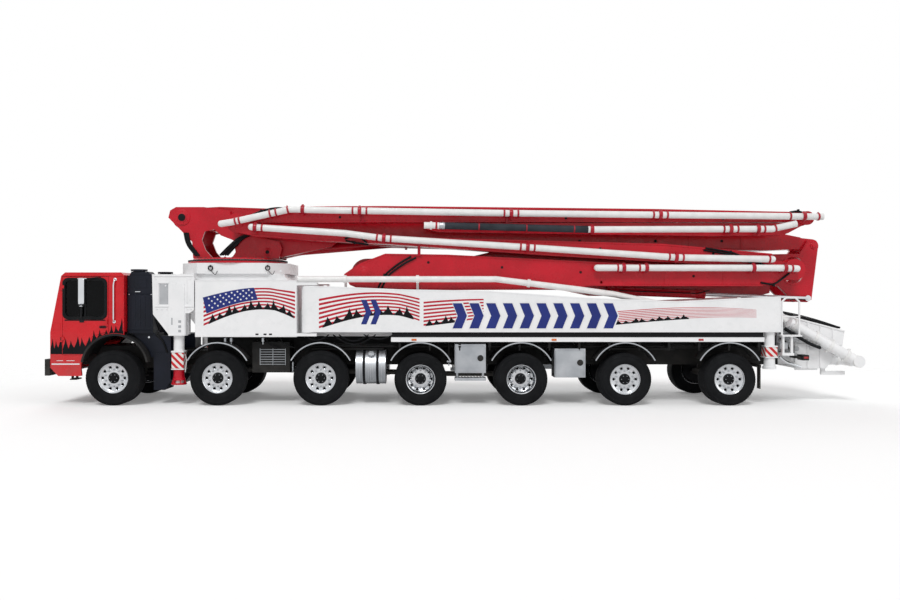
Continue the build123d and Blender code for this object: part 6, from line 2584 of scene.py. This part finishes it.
        # Louvred guard of the pneumatic box
        for i in range(7):
            z = 0.80 + i * 0.05
            steel.box((-4.02, s * 0.958, z), (-3.52, s * 0.972, z + 0.016), edge=0.004)
        for x in (-4.03, -3.77, -3.515):
            steel.box((x, s * 0.957, 0.79), (x + 0.014, s * 0.975, 1.13), edge=0.003)
        steel.rod((-3.35, s * 0.98, 0.66), (-3.35, s * 0.98, 0.86), 0.022)
        show(steel, f"under_fittings_{side.word}", Stock.BOX_STEEL, "truck")
        links = Shape()
        links.box((-0.20, s * 1.04, 0.86), (-0.175, s * 1.10, 1.25), edge=0.004)
        links.box((-3.36, s * 0.70, 0.72), (-3.34, s * 0.99, 0.76), edge=0.004)
        show(links, f"fitting_brackets_{side.word}", Stock.FRAME_POWDER, "truck")

    def markers(self, side: Side) -> None:
        """Side marker lamps along the rail, and the rail's folded edges.

        Args:
            side: The side of the truck.
        """
        s = side.value
        for word, finish, spots in (
            ("amber", Stock.AMBER_LENS, (-0.89, 1.91)), ("red", Stock.RED_LENS, (4.85,))
        ):
            shape = Shape()
            for x in spots:
                shape.box((x - 0.05, s * 1.248, 1.30), (x + 0.05, s * 1.262, 1.34), edge=0.006)
            show(shape, f"rail_marker_{word}_{side.word}", finish, "truck")
        edge = Shape()
        x0, x1 = self.rail
        edge.box((x0, s * 1.246, 1.278), (x1, s * 1.2535, 1.288), edge=0.003)
        edge.box((x0, s * 1.246, 1.36), (x1, s * 1.2535, 1.37), edge=0.003)
        for i in range(12):
            bolt(edge, (x0 + 0.2 + i * 0.64, s * 1.249, 1.318), (0, s, 0), 0.009)
        show(edge, f"rail_edges_{side.word}", Stock.BODY_ENAMEL, "truck")
        # Black strip set back in the gap above the rail: painted shade in the gap
        gap = Shape()
        gap.box((x0 + 0.02, s * 1.195, 1.371), (x1 - 0.02, s * 1.235, 1.47), 0)
        show(gap, f"rail_gap_{side.word}", Stock.FRAME_POWDER, "truck")

    def build(self) -> None:
        """Builds both flanks."""
        self.doors()
        for side in Side:
            self.fuel(side)
            self.under(side)
            self.markers(side)


# ---------------------------------------------------------------- rear and delivery line


@dataclass
class Rear:
    """Splash cover, outlet bend, pump parts, rails, lamps and hoses at the rear end."""

    lane: float = -0.85
    bend_z: float = 0.86
    shaft: tuple[float, float] = (7.35, 1.05)
    wall: float = 0.69
    cover_x: tuple[float, float] = (6.62, 7.905)
    cover_z: tuple[float, float] = (1.90, 1.56)
    cover_half: float = 0.695

    def cover(self) -> None:
        """Domed rubber splash cover with its ribs."""
        shape = Shape()
        (x0, x1), (z0, z1), half = self.cover_x, self.cover_z, self.cover_half
        rings = []
        for k in range(17):
            t = k / 16
            x = x0 + (x1 - x0) * t
            top = z0 + (z1 - z0) * t + 0.03 * math.sin(math.pi * t)
            ring = []
            for j in range(15):
                u = -1 + 2 * j / 14
                ring.append((x, half * u, top - 0.016 * abs(u) ** 6))
            under = [(x, half * (-1 + 2 * j / 14), top - 0.036) for j in range(14, -1, -1)]
            rings.append(ring + under)
        shape.loft(rings)
        for y in (-0.62, -0.31, 0.0, 0.31, 0.62):
            points = [
                (
                    6.64 + 1.24 * k / 10, y,
                    1.896 - 0.328 * k / 10 + 0.031 * math.sin(math.pi * (0.015 + 0.965 * k / 10))
                )
                for k in range(11)
            ]
            shape.pipe(points, 0.009, 0.02, sides=8)
        show(shape, "splash_cover", Stock.SHEET_RUBBER, "hopper_lid")

    def outlet(self) -> None:
        """Clamps, lugs and levers of the outlet bend."""
        shape = Shape()
        start, end = Vector((8.178, self.lane, self.bend_z)), Vector((6.79, self.lane, 1.652))
        run = (end - start).normalized()
        for share in (0.16, 0.40, 0.62, 0.93):
            point = start + (end - start) * share
            shape.turn(
                (
                    (-0.035, 0.105), (-0.034, 0.122), (-0.015, 0.126), (0.015, 0.126),
                    (0.034, 0.122), (0.035, 0.105)
                ),
                point, run, 36, capped=False
            )
            ears(shape, point, run, 0.13, (0.028, 0.025, 0.018), 0.024, 0.011)
        for y in (-0.93, -0.62, -0.40):
            shape.collar((8.176, y, self.bend_z), (0, 1, 0), (0.03, 0.108), (0.028, 0.121), 36)
        for x in (7.72, 7.98):
            shape.collar((x, -0.412, self.bend_z), (1, 0, 0), (0.025, 0.104), (0.023, 0.118), 36)
        for share, z in ((0.3, 0.98), (0.62, 1.18)):
            point = start + (end - start) * share
            shape.box((point.x - 0.02, -0.86, z), (point.x + 0.02, -0.69, z + 0.05), edge=0.005)
            shape.box((point.x - 0.02, -0.88, z), (point.x + 0.02, -0.84, point.z), edge=0.005)
        show(shape, "outlet_clamps", Stock.PIPE_ENAMEL, "truck", edge_mm=1.0)

    def hopper(self) -> None:
        """Rim, ribs, bearing, grate and agitator of the hopper."""
        shape = Shape()
        x0, z0 = self.shaft
        rim = ((6.775, 1.792), (8.005, 1.468))
        for side in Side:
            s = side.value
            shape.pipe([(x, s * self.wall, z) for x, z in rim], 0.02, 0.02)
            for x, low, high in (
                (6.98, 0.82, 1.70), (7.24, 0.72, 1.66), (7.50, 0.72, 1.58), (7.76, 0.92, 1.52)
            ):
                shape.box((x - 0.012, s * 0.688, low), (x + 0.012, s * 0.716, high), edge=0.004)
            shape.box((6.80, s * 0.688, 1.18), (7.94, s * 0.706, 1.21), edge=0.004)
            shape.turn(
                ((0, 0.13), (0.02, 0.128), (0.03, 0.10), (0.05, 0.075), (0.055, 0.04)),
                (x0, s * self.wall, z0), (0, s, 0), 36
            )
            for c, q in around(8, 0.112):
                bolt(shape, (x0 + c, s * 0.708, z0 + q), (0, s, 0), 0.009)
        shape.pipe([(8.0, -0.68, 1.475), (8.0, 0.68, 1.475)], 0.02, 0.02)
        show(shape, "hopper_ribs", Stock.BODY_ENAMEL, "truck")
        inside = Shape()
        inside.rod((x0, -0.66, z0), (x0, 0.66, z0), 0.035)
        for i, y in enumerate((-0.5, -0.25, 0.0, 0.25, 0.5)):
            angle = 1.1 * i
            tip = (x0 + 0.26 * math.cos(angle), y + 0.05, z0 + 0.26 * math.sin(angle))
            inside.rod((x0, y, z0), tip, 0.016)
            inside.box(
                Vector(tip) - Vector((0.05, 0.012, 0.04)),
                Vector(tip) + Vector((0.05, 0.012, 0.04)), edge=0.006
            )
        for i in range(15):
            y = -0.63 + i * 0.09
            inside.rod((6.84, y, 1.725), (7.96, y, 1.44), 0.008)
        for x in (7.1, 7.4, 7.7):
            z = 1.795 - (x - 6.57) * 0.255
            inside.rod((x, -0.66, z), (x, 0.66, z), 0.01)
        show(inside, "hopper_grate", Stock.AXLE_IRON, "truck")

    def machinery(self) -> None:
        """Shift cylinders, valve blocks, struts and flanges between the frame and the hopper."""
        grey, black, steel = Shape(), Shape(), Shape()
        for side in Side:
            s = side.value
            grey.rod((6.60, s * 0.78, 1.22), (7.0, s * 0.80, 1.32), 0.055)
            grey.rod((6.55, s * 0.86, 1.10), (6.95, s * 0.86, 0.98), 0.04)
            grey.box((6.62, s * 0.72, 1.42), (6.82, s * 0.90, 1.55), edge=0.012)
            grey.box((6.95, s * 0.70, 1.30), (7.10, s * 0.84, 1.42), edge=0.012)
            grey.box((6.50, s * 0.95, 1.12), (6.66, s * 1.10, 1.26), edge=0.012)
            steel.rod((7.0, s * 0.80, 1.32), (7.18, s * 0.806, 1.365), 0.024)
            steel.pipe(
                [(6.52, s * 1.02, 0.97), (6.66, s * 0.96, 0.86), (7.02, s * 0.86, 0.74)], 0.028,
                0.08
            )
            for i in range(3):
                black.pipe(
                    [
                        (6.54, s * (0.98 + 0.03 * i), 1.34),
                        (6.66, s * (1.0 + 0.03 * i), 1.28 - 0.03 * i),
                        (6.76, s * (0.95 + 0.02 * i), 1.06), (6.88, s * 0.84, 0.96)
                    ],
                    0.014, 0.08, sides=10
                )
            black.pipe(
                [
                    (6.66, s * 0.93, 1.54), (6.86, s * 0.975, 1.40), (7.16, s * 0.975, 1.22),
                    (7.40, s * 0.90, 1.14)
                ],
                0.034, 0.2
            )
            for x, z in ((6.72, 1.30), (6.92, 1.12)):
                grey.turn(((0, 0.05), (0.014, 0.05), (0.018, 0.04)), (x, s * 0.9, z), (0, s, 0), 20)
            grey.box((6.70, s * 0.66, 0.98), (6.95, s * 0.80, 1.03), edge=0.006)
            grey.box((6.50, s * 0.88, 1.10), (6.54, s * 0.95, 1.45), edge=0.006)
        # Pump parts in a grey that is partly their own enamel and partly painted shade
        show(grey, "pump_parts", Stock.SHADOW_ENAMEL, "truck", edge_mm=1.0)
        show(black, "pump_hoses", Stock.HOSE_RUBBER, "truck")
        show(steel, "pump_rods", Stock.CHROME, "truck")

    def steps(self) -> None:
        """Treads, feet and rail of the rear platforms, and the rear lamps with their holders."""
        tread, lamps, holder = Shape(), Shape(), Shape()
        for side in Side:
            s = side.value
            for i in range(6):
                x = 6.52 + i * 0.062
                tread.box((x, s * 0.99, 1.408), (x + 0.02, s * 1.19, 1.416), edge=0.003)
            for x in (6.52, 6.87):
                tread.turn(
                    ((0, 0.034), (0.008, 0.034), (0.012, 0.024)), (x, s * 1.13, 1.41), (0, 0, 1), 20
                )
            tread.pipe([(6.52, s * 1.13, 1.78), (6.87, s * 1.13, 1.78)], 0.012, 0.02)
            holder.box((6.93, s * 0.90, 0.90), (7.06, s * 1.16, 1.01), edge=0.008)
            holder.box((6.86, s * 0.70, 0.93), (6.94, s * 1.10, 0.97), edge=0.006)
            lamps.box((7.052, s * 0.92, 0.92), (7.066, s * 1.03, 0.99), edge=0.004)
            lamps.box((6.95, s * 1.155, 0.935), (7.04, s * 1.168, 0.975), edge=0.004)
        show(tread, "platform_treads", Stock.BODY_ENAMEL, "truck")
        show(holder, "rear_lamp_holders", Stock.BUMPER_PLASTIC, "truck")
        show(lamps, "rear_lamps", Stock.RED_LENS, "truck")

    def build(self) -> None:
        """Builds the rear end."""
        self.cover()
        self.outlet()
        self.hopper()
        self.machinery()
        self.steps()


ASSEMBLIES: tuple[Any, ...] = (
    Wheels(), Cab(), Stack(), FrontLegs(), Pedestal(), Livery(), SidePanels(), BoomPipes(),
    BoomPlates(), Guards(), Flank(), Rear()
)


# ---------------------------------------------------------------- the frame's own pieces


@dataclass
class FrameCoat:
    """Puts the right finish on every piece of the frame."""

    coats: dict[str, Finish] = field(
        default_factory=lambda: {
            "frame_black": Stock.FRAME_POWDER, "axle_grey": Stock.AXLE_IRON,
            "cab_red": Stock.CAB_ENAMEL, "glazing": Stock.PRIVACY_GLASS,
            "cabin_trim": Stock.TRIM_PLASTIC, "bumper_black": Stock.BUMPER_PLASTIC,
            "stack_navy": Stock.STACK_PLASTIC, "guard_black": Stock.GUARD_PLASTIC,
            "box_metal": Stock.BOX_STEEL, "body_white": Stock.BODY_ENAMEL,
            "pipe_white": Stock.PIPE_ENAMEL, "cover_rubber": Stock.SHEET_RUBBER,
            "boom_red": Stock.BOOM_ENAMEL, "rod_chrome": Stock.CHROME,
            "tyre_black": Stock.TYRE_RUBBER
        }
    )

    def dress(self) -> None:
        """Gives each node the finish of its slot and keeps its flat faces crisp."""
        for name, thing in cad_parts.items():
            was = thing.data.materials[0].name if thing.data.materials else ""
            slot = next((key for key in self.coats if was.startswith(key)), "frame_black")
            thing.data.materials.clear()
            thing.data.materials.append(material_of(self.coats[slot]))
            thing.data.shade_smooth()
            thing.data.set_sharp_from_angle(angle=math.radians(28))
            LOG.info("frame node %s in %s", name, slot)


# ---------------------------------------------------------------- floor, light and camera


@dataclass
class Studio:
    """Pale floor, soft light and the camera, none of which are part of the truck."""

    floor_reach: float = 34.0
    fade_from: float = 9.5
    fade_to: float = 17.0
    eye: tuple[float, float, float] = (-0.77, -17.75, 2.17)
    lens: float = 33.0
    shift: tuple[float, float] = (0.0333, -0.003)
    sky_level: float = 0.42
    floor_tone: float = 0.94
    floor_glow: float = 0.16

    def floor(self) -> None:
        """A pale floor that fades into the white backdrop far from the truck."""
        shape = Shape()
        reach = self.floor_reach
        shape.put(
            [(-reach, -reach, 0), (reach, -reach, 0), (reach, reach, 0), (-reach, reach, 0)],
            [(0, 1, 2, 3)]
        )
        material = bpy.data.materials.new("pale_studio_floor")
        material.use_nodes = True
        tree = material.node_tree
        tree.nodes.clear()
        place = node(tree, "NewGeometry").outputs["Position"]
        distance = node(tree, "VectorMath", {0: place}, operation="LENGTH").outputs["Value"]
        fade = node(
            tree, "MapRange", {0: distance, 1: self.fade_from, 2: self.fade_to, 3: 0.0, 4: 1.0},
            interpolation_type="SMOOTHSTEP"
        )
        pale = node(tree, "BsdfDiffuse", {"Color": (*[self.floor_tone] * 3, 1.0)})
        lit = node(tree, "Emission", {"Color": (1.0, 1.0, 1.0, 1.0), "Strength": self.floor_glow})
        both = node(tree, "AddShader", {0: pale.outputs[0], 1: lit.outputs[0]})
        seen = node(tree, "LightPath").outputs["Is Camera Ray"]
        near = node(tree, "MixShader", {0: seen, 1: pale.outputs[0], 2: both.outputs[0]})
        clear = node(tree, "BsdfTransparent")
        mixed = node(
            tree, "MixShader", {0: fade.outputs[0], 1: near.outputs[0], 2: clear.outputs[0]}
        )
        node(tree, "OutputMaterial", {"Surface": mixed.outputs[0]})
        mesh = shape.mesh("studio_floor", [])
        mesh.materials.append(material)
        ground = bpy.data.objects.new("studio_floor", mesh)
        bpy.context.scene.collection.objects.link(ground)

    def sky(self) -> None:
        """Even pale light from all round, and plain white behind the truck."""
        world = bpy.data.worlds.new("studio")
        bpy.context.scene.world = world
        world.use_nodes = True
        tree = world.node_tree
        tree.nodes.clear()
        path = node(tree, "LightPath")
        seen = node(
            tree, "Math", {0: path.outputs["Is Camera Ray"], 1: path.outputs["Is Glossy Ray"]},
            operation="MAXIMUM"
        )
        any_view = node(
            tree, "Math", {0: seen.outputs[0], 1: path.outputs["Is Transmission Ray"]},
            operation="MAXIMUM"
        )
        soft = node(tree, "Background", {"Color": (1, 1, 1, 1), "Strength": self.sky_level})
        white = node(tree, "Background", {"Color": (1, 1, 1, 1), "Strength": 1.0})
        mixed = node(
            tree, "MixShader", {0: any_view.outputs[0], 1: soft.outputs[0], 2: white.outputs[0]}
        )
        node(tree, "OutputWorld", {"Surface": mixed.outputs[0]})

    def lamps(self) -> None:
        """A broad high key in front and a weaker one from the rear end."""
        for name, turn, level, spread in (
            ("key_lamp", (42, 0, -12), 1.4, 20), ("end_lamp", (62, 0, 62), 0.35, 40),
            ("back_lamp", (50, 0, 200), 0.5, 40)
        ):
            lamp = bpy.data.lights.new(name, "SUN")
            lamp.energy = level
            lamp.angle = math.radians(spread)
            thing = bpy.data.objects.new(name, lamp)
            thing.rotation_euler = [math.radians(a) for a in turn]
            bpy.context.scene.collection.objects.link(thing)

    def camera(self) -> None:
        """A level camera in front of the driver's side."""
        lens = bpy.data.cameras.new("camera")
        lens.sensor_width = 36.0
        lens.lens = self.lens
        lens.shift_x, lens.shift_y = self.shift
        lens.clip_end = 200.0
        thing = bpy.data.objects.new("camera", lens)
        thing.location = self.eye
        thing.rotation_euler = (math.radians(90), 0, 0)
        bpy.context.scene.collection.objects.link(thing)
        bpy.context.scene.camera = thing

    def build(self) -> None:
        """Sets up the floor, the light and the camera."""
        bpy.context.scene.view_settings.view_transform = "Standard"
        self.camera()
        self.sky()
        self.lamps()
        self.floor()


def main() -> None:
    """Dresses the frame, sets up the studio and builds every sub-assembly in order."""
    logging.basicConfig(level=logging.INFO, format="%(message)s")
    FrameCoat().dress()
    Studio().build()
    for assembly in ASSEMBLIES:
        LOG.info("-- %s", type(assembly).__name__)
        assembly.build()


if __name__ == "__main__":
    main()
